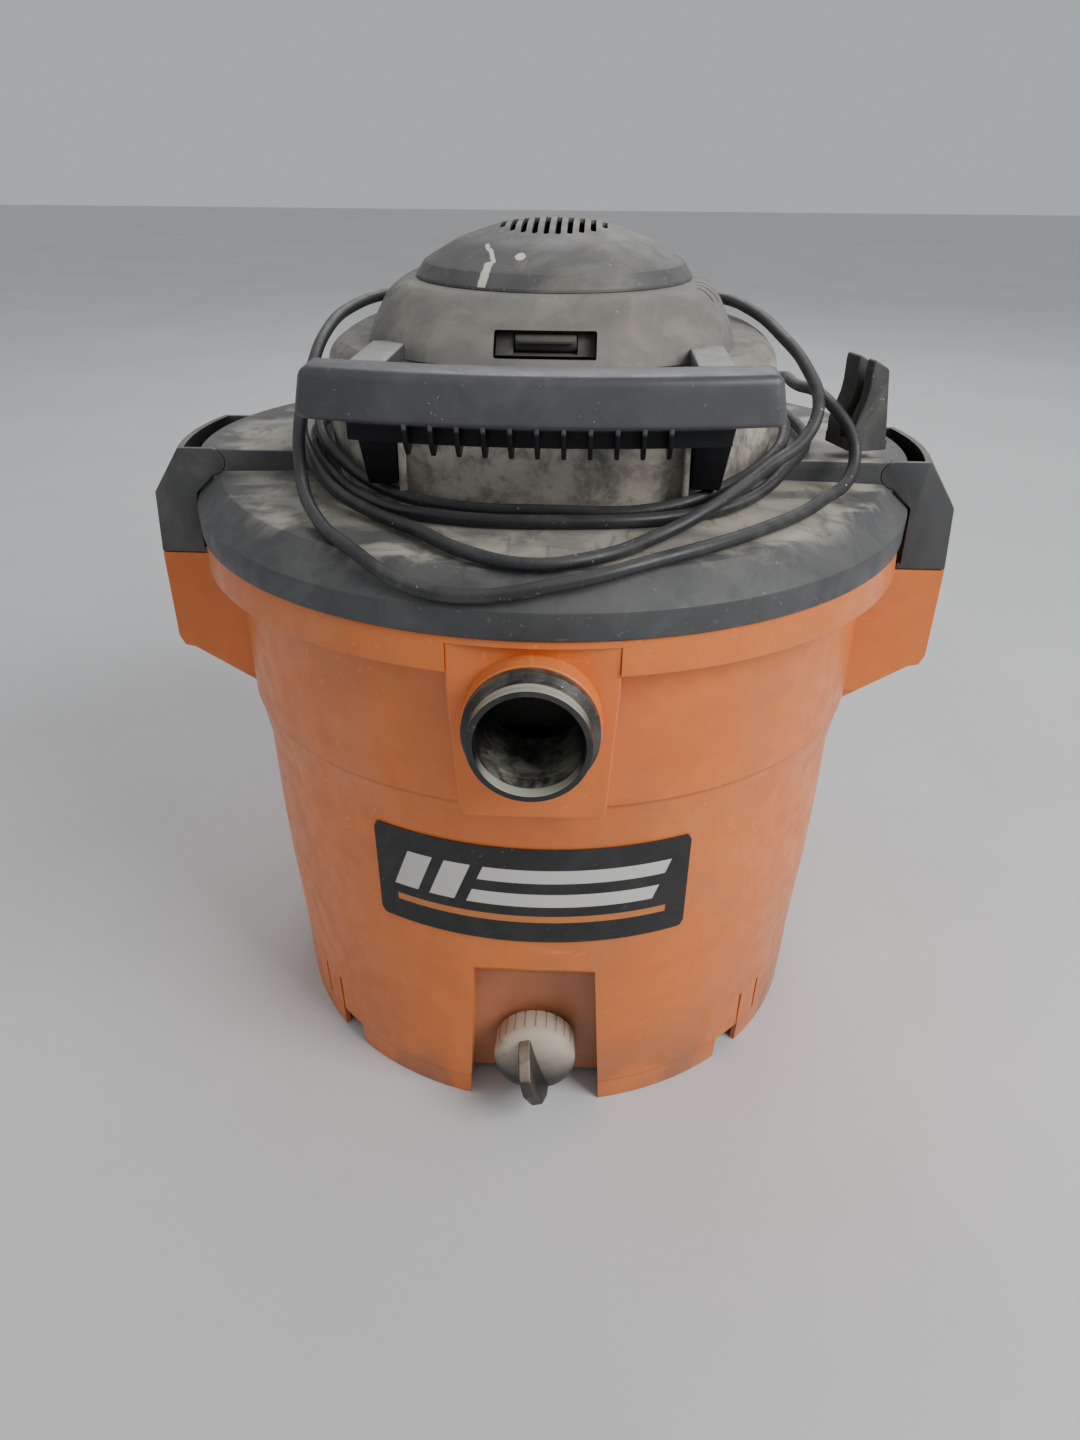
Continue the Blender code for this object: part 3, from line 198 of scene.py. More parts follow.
def rounded(profile, radius, closed=False, steps=3, least=8):
    """Replace each corner that turns by at least so many degrees by a small arc of about the radius."""
    points = [Vector(p) for p in profile]
    count = len(points)
    out = []
    for k, here in enumerate(points):
        if not closed and k in (0, count - 1) or here.x == 0:
            out.append(tuple(here))
            continue
        back = points[k - 1] - here
        ahead = points[(k + 1) % count] - here
        turn = pi - back.angle(ahead)
        if turn < radians(least):
            out.append(tuple(here))
            continue
        reach = min(radius * tan(turn / 2), back.length * 0.45, ahead.length * 0.45)
        start = here + back.normalized() * reach
        end = here + ahead.normalized() * reach
        for step in range(steps + 1):
            t = step / steps
            out.append(tuple(start * (1 - t) ** 2 + here * 2 * t * (1 - t) + end * t ** 2))
    return out


def lathe(name, profile, steps=FINE, closed=False, turn=None, round_to=0.0):
    """Turn (radius, height) points about Z; round_to softens the profile's corners."""
    if round_to:
        profile = rounded(profile, round_to, closed)
    bm = bmesh.new()
    rings = []
    for radius, height in profile:
        if radius == 0:
            rings.append([bm.verts.new((0, 0, height))])
            continue
        spots = [2 * pi * k / steps for k in range(steps)]
        rings.append([bm.verts.new((radius * cos(t), radius * sin(t), height)) for t in spots])
    ring_skin(bm, rings, closed)
    if turn is not None:
        bmesh.ops.transform(bm, matrix=turn, verts=bm.verts)
    return finish_mesh(name, bm)


def cylinder(radius, low, high, steps=FINE, turn=None):
    return lathe("tool", ((0, low), (radius, low), (radius, high), (0, high)), steps, turn=turn)


def loft(name, rings):
    bm = bmesh.new()
    ring_skin(bm, [[bm.verts.new(p) for p in ring] for ring in rings])
    return finish_mesh(name, bm)


def prism(outline, axis, low, high, name="tool"):
    """An outline pushed along one axis; its points are given in the other two, in the order x, y, z."""
    at = "XYZ".index(axis)
    return loft(name, [[(*spot[:at], along, *spot[at:]) for spot in outline] for along in (low, high)])


def box(low, high, turn=None, name="tool"):
    outline = ((low[0], low[1]), (high[0], low[1]), (high[0], high[1]), (low[0], high[1]))
    made = prism(outline, "Z", low[2], high[2], name)
    if turn is not None:
        made.data.transform(turn)
    return made


def arc(centre, radius, start, end, steps):
    spots = [radians(start + (end - start) * k / steps) for k in range(steps + 1)]
    return [(centre[0] + radius * cos(t), centre[1] + radius * sin(t)) for t in spots]


def apply_modifiers(made):
    """Freeze an object's modifiers into its mesh."""
    shape = made.evaluated_get(bpy.context.evaluated_depsgraph_get())
    mesh = bpy.data.meshes.new_from_object(shape)
    made.modifiers.clear()
    made.data = mesh
    return made


def soften(made, width=0.0008, segments=2, angle=40):
    """Round the sharp edges of a piece."""
    step = made.modifiers.new("edges", "BEVEL")
    step.width = width
    step.segments = segments
    step.limit_method = "ANGLE"
    step.angle_limit = radians(angle)
    apply_modifiers(made)
    smooth(made.data)
    return made


def cut(tool):
    return "DIFFERENCE", tool


def join(tool):
    return "UNION", tool


def keep(tool):
    return "INTERSECT", tool


def carve(made, steps):
    """Boolean steps as (operation, tool), then the tools are removed."""
    for operation, tool in steps:
        step = made.modifiers.new(tool.name, "BOOLEAN")
        step.operation = operation
        step.solver = "MANIFOLD"
        step.object = tool
    bpy.context.view_layer.update()
    apply_modifiers(made)
    for _, tool in steps:
        bpy.data.objects.remove(tool)
    smooth(made.data)
    return made


def facing(direction, spot=(0, 0, 0)):
    """The matrix that points a piece's Z along a direction."""
    turn = Vector((0, 0, 1)).rotation_difference(Vector(direction)).to_matrix().to_4x4()
    return Matrix.Translation(spot) @ turn


def turned(angle, axis="Z"):
    return Matrix.Rotation(radians(angle), 4, axis)


INLET_AIM = facing((0, -1, 0), (0, 0, INLET_Z))
DRAIN_AIM = facing((0, -1, 0), (0, 0, DRAIN_Z))
EXHAUST_AIM = facing((0, 1, 0), (0, 0, EXHAUST_Z))


def superellipse(z, half, front, rear, power, steps=144):
    ring = []
    for k in range(steps):
        t = 2 * pi * k / steps
        c = cos(t)
        s = sin(t)
        reach = rear if s > 0 else front
        x = half * copysign(abs(c) ** (2 / power), c)
        y = reach * copysign(abs(s) ** (2 / power), s)
        ring.append((x, y, z))
    return ring


def plateau_z(y, lift=0.0):
    return PLATEAU_Z - PLATEAU_SLOPE * y + lift


def smooth_rings(rings, parts=4):
    """Catmull-Rom through rings of (z, half, front, rear), for a shell without flat bands."""
    out = []
    for k in range(len(rings) - 1):
        a, b, c, d = (Vector(rings[min(max(k + off, 0), len(rings) - 1)]) for off in (-1, 0, 1, 2))
        for step in range(parts):
            t = step / parts
            squared = (2 * a - 5 * b + 4 * c - d) * t * t
            out.append(tuple(0.5 * (2 * b + (c - a) * t + squared + (3 * b - a - 3 * c + d) * t ** 3)))
    out.append(tuple(rings[-1]))
    return out


def shell_loft(name, rings, power, thickness):
    ceiling = rings[-1][0] - thickness
    bm = bmesh.new()
    outer = [[bm.verts.new(p) for p in superellipse(*ring, power)] for ring in rings]
    inner = []
    for z, half, front, rear in rings:
        z = min(z, ceiling)
        thin = [size - thickness for size in (half, front, rear)]
        if not inner or z > inner[-1][0].co.z:
            inner.append([bm.verts.new(p) for p in superellipse(z, *thin, power)])
    for wall in (outer, inner):
        for low, high in zip(wall, wall[1:]):
            bridge(bm, low, high)
        bm.faces.new(wall[-1])
    bridge(bm, outer[0], inner[0])
    return finish_mesh(name, bm)


def wear(piece, look):
    piece.data.materials.clear()
    piece.data.materials.append(look)


def place(piece, body, slot, look, *replaced):
    """Give a piece its look and its body and hide the CAD nodes it stands for; the slot is not used."""
    wear(piece, look)
    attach(piece, body)
    if replaced:
        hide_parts(*replaced)
    return piece


# ---- materials
class Look:
    """A material with helpers that add nodes and link them in one call."""

    def __init__(self, name, roughness=0.5, metallic=0.0):
        self.material = bpy.data.materials.new(name)
        self.material.use_nodes = True
        self.nodes = self.material.node_tree.nodes
        self.links = self.material.node_tree.links
        self.shader = self.nodes["Principled BSDF"]
        self.shader.inputs["Roughness"].default_value = roughness
        self.shader.inputs["Metallic"].default_value = metallic
        self.spot = self.nodes.new("ShaderNodeTexCoord").outputs["Object"]
        self.up = self.split(self.nodes.new("ShaderNodeNewGeometry").outputs["Normal"])[2]

    def link(self, value, socket):
        if isinstance(value, bpy.types.NodeSocket):
            self.links.new(value, socket)
        else:
            socket.default_value = value

    def node(self, kind, inputs, **settings):
        """Add a node, set it and give its inputs a value or a link by name or number."""
        made = self.nodes.new("ShaderNode" + kind)
        for key, value in settings.items():
            setattr(made, key, value)
        for key, value in inputs.items():
            self.link(value, made.inputs[key])
        return made.outputs

    def math(self, operation, a, b=0.0, clamp=False):
        return self.node("Math", {0: a, 1: b}, operation=operation, use_clamp=clamp)[0]

    def times(self, a, b, clamp=False):
        return self.math("MULTIPLY", a, b, clamp)

    def plus(self, a, b):
        return self.math("ADD", a, b)

    def minus(self, a, b):
        return self.math("SUBTRACT", a, b)

    def larger(self, a, b):
        return self.math("MAXIMUM", a, b)

    def distance(self, a, b):
        return self.math("SQRT", self.plus(self.times(a, a), self.times(b, b)))

    def stretch(self, scale, turn=(0, 0, 0)):
        return self.node("Mapping", {"Vector": self.spot, "Scale": scale, "Rotation": turn})[0]

    def noise(self, scale, detail=4.0, warp=0.0, roughness=0.55, vector=None):
        return self.node("TexNoise", {"Vector": vector or self.spot, "Scale": scale, "Detail": detail,
            "Roughness": roughness, "Distortion": warp})[0]

    def ramp(self, value, low, high, out_low=0.0, out_high=1.0):
        """A smooth step from out_low to out_high while the value goes from low to high."""
        return self.node("MapRange", {"Value": value, "From Min": low, "From Max": high, "To Min": out_low,
            "To Max": out_high}, interpolation_type="SMOOTHSTEP")[0]

    def cloud(self, low, high, *noise):
        """Noise as soft-edged patches: nothing under low, all above high."""
        return self.ramp(self.noise(*noise), low, high)

    def between(self, value, rise, full, fade, gone):
        """One from full to fade, and nothing before rise and after gone."""
        return self.times(self.ramp(value, rise, full), self.ramp(value, gone, fade))

    def split(self, vector):
        return self.node("SeparateXYZ", {0: vector})

    def mix(self, share, a, b):
        a, b = ((*colour, 1.0) if isinstance(colour, tuple) else colour for colour in (a, b))
        return self.node("Mix", {0: share, 6: a, 7: b}, data_type="RGBA")[2]

    def bump(self, height, strength, distance, after=None):
        inputs = {"Strength": strength, "Distance": distance, "Height": height}
        if after is not None:
            inputs["Normal"] = after
        return self.node("Bump", inputs)[0]

    def finish(self, colour, roughness=None, normal=None):
        for key, value in (("Base Color", colour), ("Roughness", roughness), ("Normal", normal)):
            if value is not None:
                self.links.new(value, self.shader.inputs[key])
        return self.material


BEIGE = (0.34, 0.305, 0.235)
PALE = (0.5, 0.485, 0.44)


def plastic(name, base, shade, rough, dust_top=0.6, dust_side=0.1, specks=0.25, scuffs=0.4, grain=0.25,
        dust=BEIGE, band=(0.35, 0.85), clouds=0.12, extra=None):
    """Moulded plastic with uneven colour, settled dust, pale specks, scuffs and a fine moulded grain."""
    look = Look(name)
    broad = look.cloud(0.3, 0.7, 7.0, 5.0, 0.6)
    fine = look.cloud(0.3, 0.7, 60.0, 6.0, 0.3)
    colour = look.mix(look.times(broad, 0.85), base, shade)
    colour = look.mix(look.times(fine, 0.3), colour, tuple(c * 0.66 for c in base))
    cloud = look.cloud(0.5, 0.66, 16.0, 7.0, 1.1, 0.6)
    colour = look.mix(look.times(cloud, clouds), colour, dust)
    # dust lies thick on what faces up and thinly on the rest
    patches = look.cloud(0.32, 0.68, 22.0, 9.0, 0.8, 0.65)
    lying = look.ramp(look.up, *band, dust_side, dust_top)
    film = look.times(lying, look.plus(look.times(patches, 0.65), 0.35), True)
    colour = look.mix(film, colour, dust)
    # pale specks
    speck = look.cloud(0.7, 0.76, 420.0, 2.0, 0.0, 0.5)
    where = look.cloud(0.45, 0.62, 30.0, 3.0)
    colour = look.mix(look.times(look.times(speck, where), specks), colour, PALE)
    # long thin scuffs in two directions
    lines = None
    for turn, scale in (((0.3, 0.5, 0.9), (5, 90, 60)), ((1.1, 0.2, -0.6), (70, 6, 80))):
        run = look.noise(3.2, 3.0, 0.4, 0.5, look.stretch(scale, turn))
        thin = look.ramp(run, 0.655, 0.7)
        lines = thin if lines is None else look.larger(lines, thin)
    lines = look.times(lines, look.times(look.cloud(0.48, 0.66, 11.0, 2.0), scuffs))
    colour = look.mix(lines, colour, tuple(min(1.0, c * 1.6 + 0.06) for c in base))
    if extra is not None:
        colour = extra(look, colour)
    roughness = look.plus(look.times(film, 0.3), look.ramp(fine, 0.0, 1.0, rough - 0.05, rough + 0.07))
    height = look.plus(look.noise(1500.0, 2.0), look.times(film, 0.6))
    dents = look.bump(look.noise(26.0, 3.0), 0.1, 0.0012)
    return look.finish(colour, look.math("MINIMUM", roughness, 0.92), look.bump(height, grain, 0.0003, dents))


def plain_metal(name, colour, rough):
    look = Look(name, rough, 1.0)
    stain = look.cloud(0.35, 0.7, 45.0, 6.0, 0.5)
    tone = look.mix(look.times(stain, 0.5), colour, tuple(c * 0.6 for c in colour))
    ring = look.noise(9.0, 2.0, 0.0, 0.5, look.stretch((8, 8, 400)))
    return look.finish(tone, look.ramp(ring, 0.2, 0.8, rough - 0.08, rough + 0.12),
        look.bump(ring, 0.15, 0.0002))


def paper(name):
    look = Look(name, 0.95)
    fibre = look.noise(300.0, 6.0, 0.5)
    dirt = look.cloud(0.35, 0.7, 18.0, 7.0, 0.5)
    tone = look.mix(look.times(dirt, 0.6), (0.62, 0.58, 0.49), (0.33, 0.29, 0.23))
    return look.finish(tone, None, look.bump(fibre, 0.4, 0.0004))


def label_print(look, colour):
    """Plain label art: two slanted blocks and two long pale bars over a thin orange stripe."""
    x, y, z = look.split(look.spot)
    along = look.times(look.math("ARCTAN2", x, look.times(y, -1.0)), 0.209)
    along = look.plus(along, 0.0033)

    def window(value, low, high, edge=0.0003):
        return look.between(value, low - edge, low + edge, high - edge, high + edge)
    slanted = look.minus(along, look.times(look.minus(z, 0.198), 0.4))
    worn = look.cloud(0.24, 0.33, 140.0, 7.0, 0.4)
    tall = window(z, 0.184, 0.2125)
    bar = look.times(tall, window(slanted, -0.034, 0.084))
    for start in (-0.084, -0.059):
        bar = look.larger(bar, look.times(tall, window(slanted, start, start + 0.017)))
    cut_out = look.times(window(z, 0.194, 0.2025), window(slanted, -0.036, 0.086))
    bar = look.times(bar, look.minus(1.0, cut_out))
    stripe = look.times(window(z, 0.1715, 0.1765), window(along, -0.088, 0.088))
    colour = look.mix(look.times(bar, worn), colour, (0.56, 0.54, 0.5))
    return look.mix(look.times(stripe, worn), colour, (0.52, 0.17, 0.045))


# ---- drum
def handle_block(name, side, profile, half=None, steps=36):
    """A sector of a turned solid on one side, cut by two planes across the drum if half is given."""
    sector = radians(33)
    rings = []
    for k in range(steps + 1):
        t = -sector / 2 + sector * k / steps
        rings.append([(side * r * cos(t), side * r * sin(t), z) for r, z in profile])
    made = loft(name, rings)
    if half is not None:
        low_x, high_x = sorted((side * 0.15, side * 0.32))
        carve(made, [keep(box((low_x, -half, 0.2), (high_x, half, 0.45)))])
    return made


def recess_prism(name, grow, low, front):
    slope = 0.0345
    outline = ((front, low), (RECESS_Y + grow, low), (RECESS_Y + grow, RECESS_TOP_Z - slope + grow * 0.4),
        (RECESS_Y - slope + grow * 0.4, RECESS_TOP_Z + grow), (front, RECESS_TOP_Z + grow))

    def half(z):
        return RECESS_HALF_LOW + (RECESS_HALF_TOP - RECESS_HALF_LOW) * z / RECESS_TOP_Z + grow
    return loft(name, [[(side * half(z), y, z) for y, z in outline] for side in (-1, 1)])


def drum_shell():
    wall_top = DRUM_OUTER[-1]
    inner = [(r - WALL, z) for r, z in (DRUM_OUTER[3], DRUM_OUTER[5], DRUM_OUTER[6])]
    outer = rounded(((DRUM_OUTER[0][0] - WALL, 0.0),) + DRUM_OUTER, 0.0012)
    shoulder = rounded(((0.2076, 0.2), DRUM_OUTER[5], DRUM_OUTER[6]), 0.03, steps=6, least=1)
    ledge = rounded((DRUM_OUTER[5], DRUM_OUTER[6], DRUM_OUTER[7], (0.2155, 0.3)), 0.0003, steps=2)
    outer = [p for p in outer if p[1] < 0.2] + shoulder[1:-1] + ledge[1:-1]
    rim = rounded(((0.216, 0.33), wall_top, (RIM_R - BAND_T, wall_top[1]), (BAND_R - BAND_T, BAND_Z),
        (BAND_R, BAND_Z), (RIM_R, RIM_Z), (wall_top[0] - WALL, RIM_Z), (0.2115, 0.3)), 0.001)
    profile = [(0, FLOOR_Z), (DRUM_OUTER[0][0] - WALL, FLOOR_Z)] + outer + rim[:-1]
    profile += list(reversed(inner)) + [(DRUM_OUTER[1][0] - WALL, FLOOR_Z + WALL), (0, FLOOR_Z + WALL)]
    drum = lathe("drum_shell", profile)

    band_cut = box((-0.0463, -0.26, 0.345), (0.0463, -0.2175, wall_top[1] - 0.0001))
    carve(drum, [cut(band_cut)])
    panel = arc((0.0355, 0.2707), 0.006, 270, 352, 6)
    outline = [(0.0463, 0.3745), (-0.0463, 0.3745), (-0.0463, 0.345)]
    outline += [(-x, z) for x, z in reversed(panel)] + panel + [(0.0463, 0.345)]
    panel = soften(prism(outline, "Y", PANEL_Y, -0.2112), 0.0012, 3)
    collar = rounded(((0, 0.205), (0.0375, 0.205), (0.0375, 0.243), (0, 0.243)), 0.0014)
    collar = lathe("inlet_collar", collar, 96, turn=INLET_AIM)
    steps = [join(panel), join(collar)]
    outer = ((0.214, HANDLE_TOP_Z), (HANDLE_R, HANDLE_TOP_Z), (HANDLE_R - 0.0013, HANDLE_LOW_Z + 0.007),
        (HANDLE_R - 0.0045, HANDLE_LOW_Z), (0.255, HANDLE_LOW_Z - 0.0015), (0.212, 0.255))
    hollow = ((0.219, HANDLE_TOP_Z - 0.004), (HANDLE_R - 0.004, HANDLE_TOP_Z - 0.004),
        (HANDLE_R - 0.0055, HANDLE_LOW_Z - 0.02), (0.219, HANDLE_LOW_Z - 0.05))
    steps += [join(soften(handle_block("tool", side, outer, HANDLE_HALF), 0.0018, 3, 50)) for side in (-1, 1)]
    liner = recess_prism("recess_liner", WALL, 0.006, -0.26)
    core = [(r - 0.0008, z) for r, z in DRUM_OUTER[1:5]]
    core = [(0, 0.003), (DRUM_OUTER[0][0] - 0.0008, 0.003)] + core + [(0, DRUM_OUTER[4][1])]
    carve(liner, [keep(lathe("recess_core", core))])
    spout = cylinder(0.0165, -RECESS_Y - 0.002, 0.1905, 48, DRAIN_AIM)
    steps += [join(liner), cut(recess_prism("recess_space", 0.0, -0.01, -0.26)), join(spout)]
    steps += [cut(handle_block("tool", side, hollow, HANDLE_HALF - WALL)) for side in (-1, 1)]
    steps += [cut(cylinder(0.033, 0.19, 0.26, 96, INLET_AIM)),
        cut(cylinder(0.0125, 0.15, 0.2, 48, DRAIN_AIM))]
    for angle in CASTER_ANGLES:
        steps.append(cut(box((0.185, -0.0125, -0.01), (0.21, 0.0125, 0.019), turned(angle))))
        towards_side = -1 if angle in (45, -135) else 1
        for offset in SLOT_OFFSETS:
            turn = turned(angle + towards_side * offset)
            steps.append(cut(box((0.198, -0.0016, 0.0195), (0.21, 0.0016, 0.05), turn)))
    carve(drum, steps)
    return drum


def drum_fittings(looks):
    ring = ((PORT_BORE_R, 0.2022), (0.032, 0.2022), (0.032, 0.2434), (0.0367, 0.2434), (0.0367, 0.2492),
        (0.0338, 0.251), (0.0326, 0.257), (0.0329, 0.2585), (0.0329, PORT_REACH), (0.0292, PORT_REACH),
        (0.0292, 0.245), (PORT_BORE_R, 0.244))
    place(lathe("inlet_ring", ring, 112, True, INLET_AIM, 0.0007), "drum", "black_plastic", looks["port"],
        "inlet_port_ring")

    bm = bmesh.new()
    steps = 96
    rings = []
    half_z = (LABEL_TOP_Z - LABEL_LOW_Z) / 2
    middle = (LABEL_TOP_Z + LABEL_LOW_Z) / 2
    for k in range(steps + 1):
        share = 2 * k / steps - 1
        t = radians(LABEL_CENTRE) + radians(LABEL_HALF) * share
        corner = max(0.0, (abs(share) - 0.962) / 0.038)
        reach = half_z - 0.0045 * (1 - sqrt(max(0.0, 1 - corner ** 2)))
        ring = []
        for z, depth in ((middle - reach, 0.0), (middle + reach, 0.0), (middle + reach, 1.0),
                (middle - reach, 1.0)):
            r = 0.2071 + (z - 0.165) * DRUM_TAPER + LABEL_LIFT + LABEL_T * depth
            ring.append(bm.verts.new((r * cos(t), r * sin(t), z)))
        rings.append(ring)
    ring_skin(bm, rings)
    place(finish_mesh("label_plate", bm), "drum", "label_film", looks["label"], "label_panel")

    body = [(0, 0.1935), (0.0171, 0.1935), (0.0171, 0.1767), (0.0283, 0.1767), (0.0283, 0.193)]
    body += [(0.0283 * cos(t), 0.193 + 0.0098 * sin(t)) for t in (0.25, 0.5, 0.75, 1.0, 1.25, 1.45)]
    body += [(0, 0.2029)]
    cap = lathe("drain_dome", body, 72, turn=DRAIN_AIM)
    flutes = []
    for k in range(FLUTES):
        turn = DRAIN_AIM @ Matrix.Rotation(2 * pi * k / FLUTES, 4, "Z")
        flutes.append(cut(box((0.0277, -0.0007, 0.175), (0.03, 0.0007, 0.1915), turn)))
    carve(cap, flutes)
    place(cap, "drain_cap", "black_plastic", looks["drain"], "drain_cap")
    outline = rounded(((-0.0233, 0.195), (0.0233, 0.195), (0.0223, 0.211), (0.016, 0.2288), (0.005, 0.2328),
        (-0.013, 0.2238), (-0.0213, 0.209)), 0.006, True)
    wing = soften(prism(outline, "Y", -0.0041, 0.0041, name="drain_wing"), 0.0014, 3)
    wing.data.transform(DRAIN_AIM @ turned(WING_TURN))
    place(wing, "drain_cap", "black_plastic", looks["wing"])


# ---- lid and latches
def plateau_solid(name, radius, front, low, lift, half_x=None, flare=0.0, edge=0.0):
    start = degrees(asin(front / radius))
    outline = arc((0, 0), radius, start, 180 - start, 110)
    bottom = [(x * (1 + flare), max(y * (1 + flare), front), low) for x, y in outline]
    top = [(x, y, plateau_z(y, lift)) for x, y in outline]
    made = loft(name, [bottom, top])
    if edge:
        soften(made, edge, 3, 50)
    if half_x is not None:
        carve(made, [keep(box((-half_x, -0.3, 0.3), (half_x, 0.3, 0.5)))])
    return made


def hinge_aim(side, end):
    return facing((0, end, 0), (side * LATCH_AXIS_X, end * HINGE_Y, LATCH_AXIS_Z))


def lid_shell():
    solid = ((0, 0.377), (0.2358, 0.377), (LID_R, CREASE_Z), (SHOULDER_R, SHOULDER_Z), (0.15, DECK_Z),
        (0, DECK_Z))
    lid = lathe("lid_shell", rounded(solid, 0.0013))
    flare = (LID_R - 0.0005) / PLATEAU_R - 1
    plateau = plateau_solid("plateau", PLATEAU_R, -HANDLE_HALF, CREASE_Z, 0.0, flare=flare, edge=0.0012)
    steps = [cut(cylinder(WELL_R, DECK_Z, 0.45, 96))]
    for side in (-1, 1):
        for end in (-1, 1):
            y_low, y_high = sorted((end * (HANDLE_HALF + LATCH_GAP), end * (HANDLE_HALF - CHEEK - 0.0005)))
            x_low, x_high = sorted((side * LATCH_AXIS_X, side * 0.245))
            steps.append(cut(box((x_low, y_low, 0.385), (x_high, y_high, 0.44))))
            turn = Matrix.Translation((side * LATCH_AXIS_X, 0, LATCH_AXIS_Z)) @ turned(-90, "X")
            steps.append(cut(cylinder(LATCH_EYE_R + LATCH_GAP, y_low, y_high, 48, turn)))
    carve(plateau, steps)
    hollow = ((0, 0.37), (0.2325, 0.37), (LID_R - WALL, CREASE_Z - 0.0025),
        (SHOULDER_R - 0.0025, SHOULDER_Z - WALL), (0.15, DECK_Z - WALL), (0, DECK_Z - WALL))
    raised = plateau_solid("plateau_hollow", PLATEAU_R - WALL, -HANDLE_HALF + WALL, 0.385, -WALL, half_x=0.2)
    carve(raised, [cut(cylinder(WELL_R + WALL, 0.35, 0.46, 96))])
    rib = ((0.208, 0.3715), (0.2105, 0.3715), (0.2105, 0.4075), (0.208, 0.4075))
    steps = [join(plateau), cut(lathe("lid_hollow", hollow)), cut(raised),
        join(lathe("lid_rib", rib, closed=True)), cut(cylinder(0.07, 0.35, 0.45, 96))]
    for side in (-1, 1):
        for end in (-1, 1):
            steps.append(cut(cylinder(0.0034, -0.0125, 0.006, 24, hinge_aim(side, end))))
    return carve(lid, steps)


def latch(side, word):
    wall = ((0.2445, 0.426), (0.2649, 0.3941), (HANDLE_R, 0.3533), (0.2358, 0.3533), (0.2358, 0.3563),
        (HANDLE_R - CHEEK, 0.3563), (0.2609, 0.3941), (0.2405, 0.426))
    made = handle_block("latch_" + word + "_fine", side, rounded(wall, 0.0009, True))
    cheek = [(LATCH_AXIS_X + 0.0133, 0.3533), (LATCH_AXIS_X + 0.0133, 0.3938)]
    cheek += arc((LATCH_AXIS_X, LATCH_AXIS_Z), LATCH_EYE_R, 270, 90, 30)
    cheek += [(0.238, 0.426), (0.257, 0.3941), (0.259, 0.3533)]
    outline = [(side * x, z) for x, z in cheek]
    steps = []
    for end in (-1, 1):
        y_low, y_high = sorted((end * (HANDLE_HALF + 0.006), end * (HANDLE_HALF - CHEEK)))
        steps.append(join(prism(outline, "Y", y_low, y_high)))
        pin = cylinder(0.003, -0.0105, -0.001, 24, hinge_aim(side, end))
        steps.append(join(pin))
    trim = ((-HANDLE_HALF, 0.34), (HANDLE_HALF, 0.34), (HANDLE_HALF, plateau_z(HANDLE_HALF)),
        (-HANDLE_HALF, plateau_z(-HANDLE_HALF)))
    steps.append(keep(prism(trim, "X", -0.3, 0.3)))
    return soften(carve(made, steps), 0.0009, 2, 50)


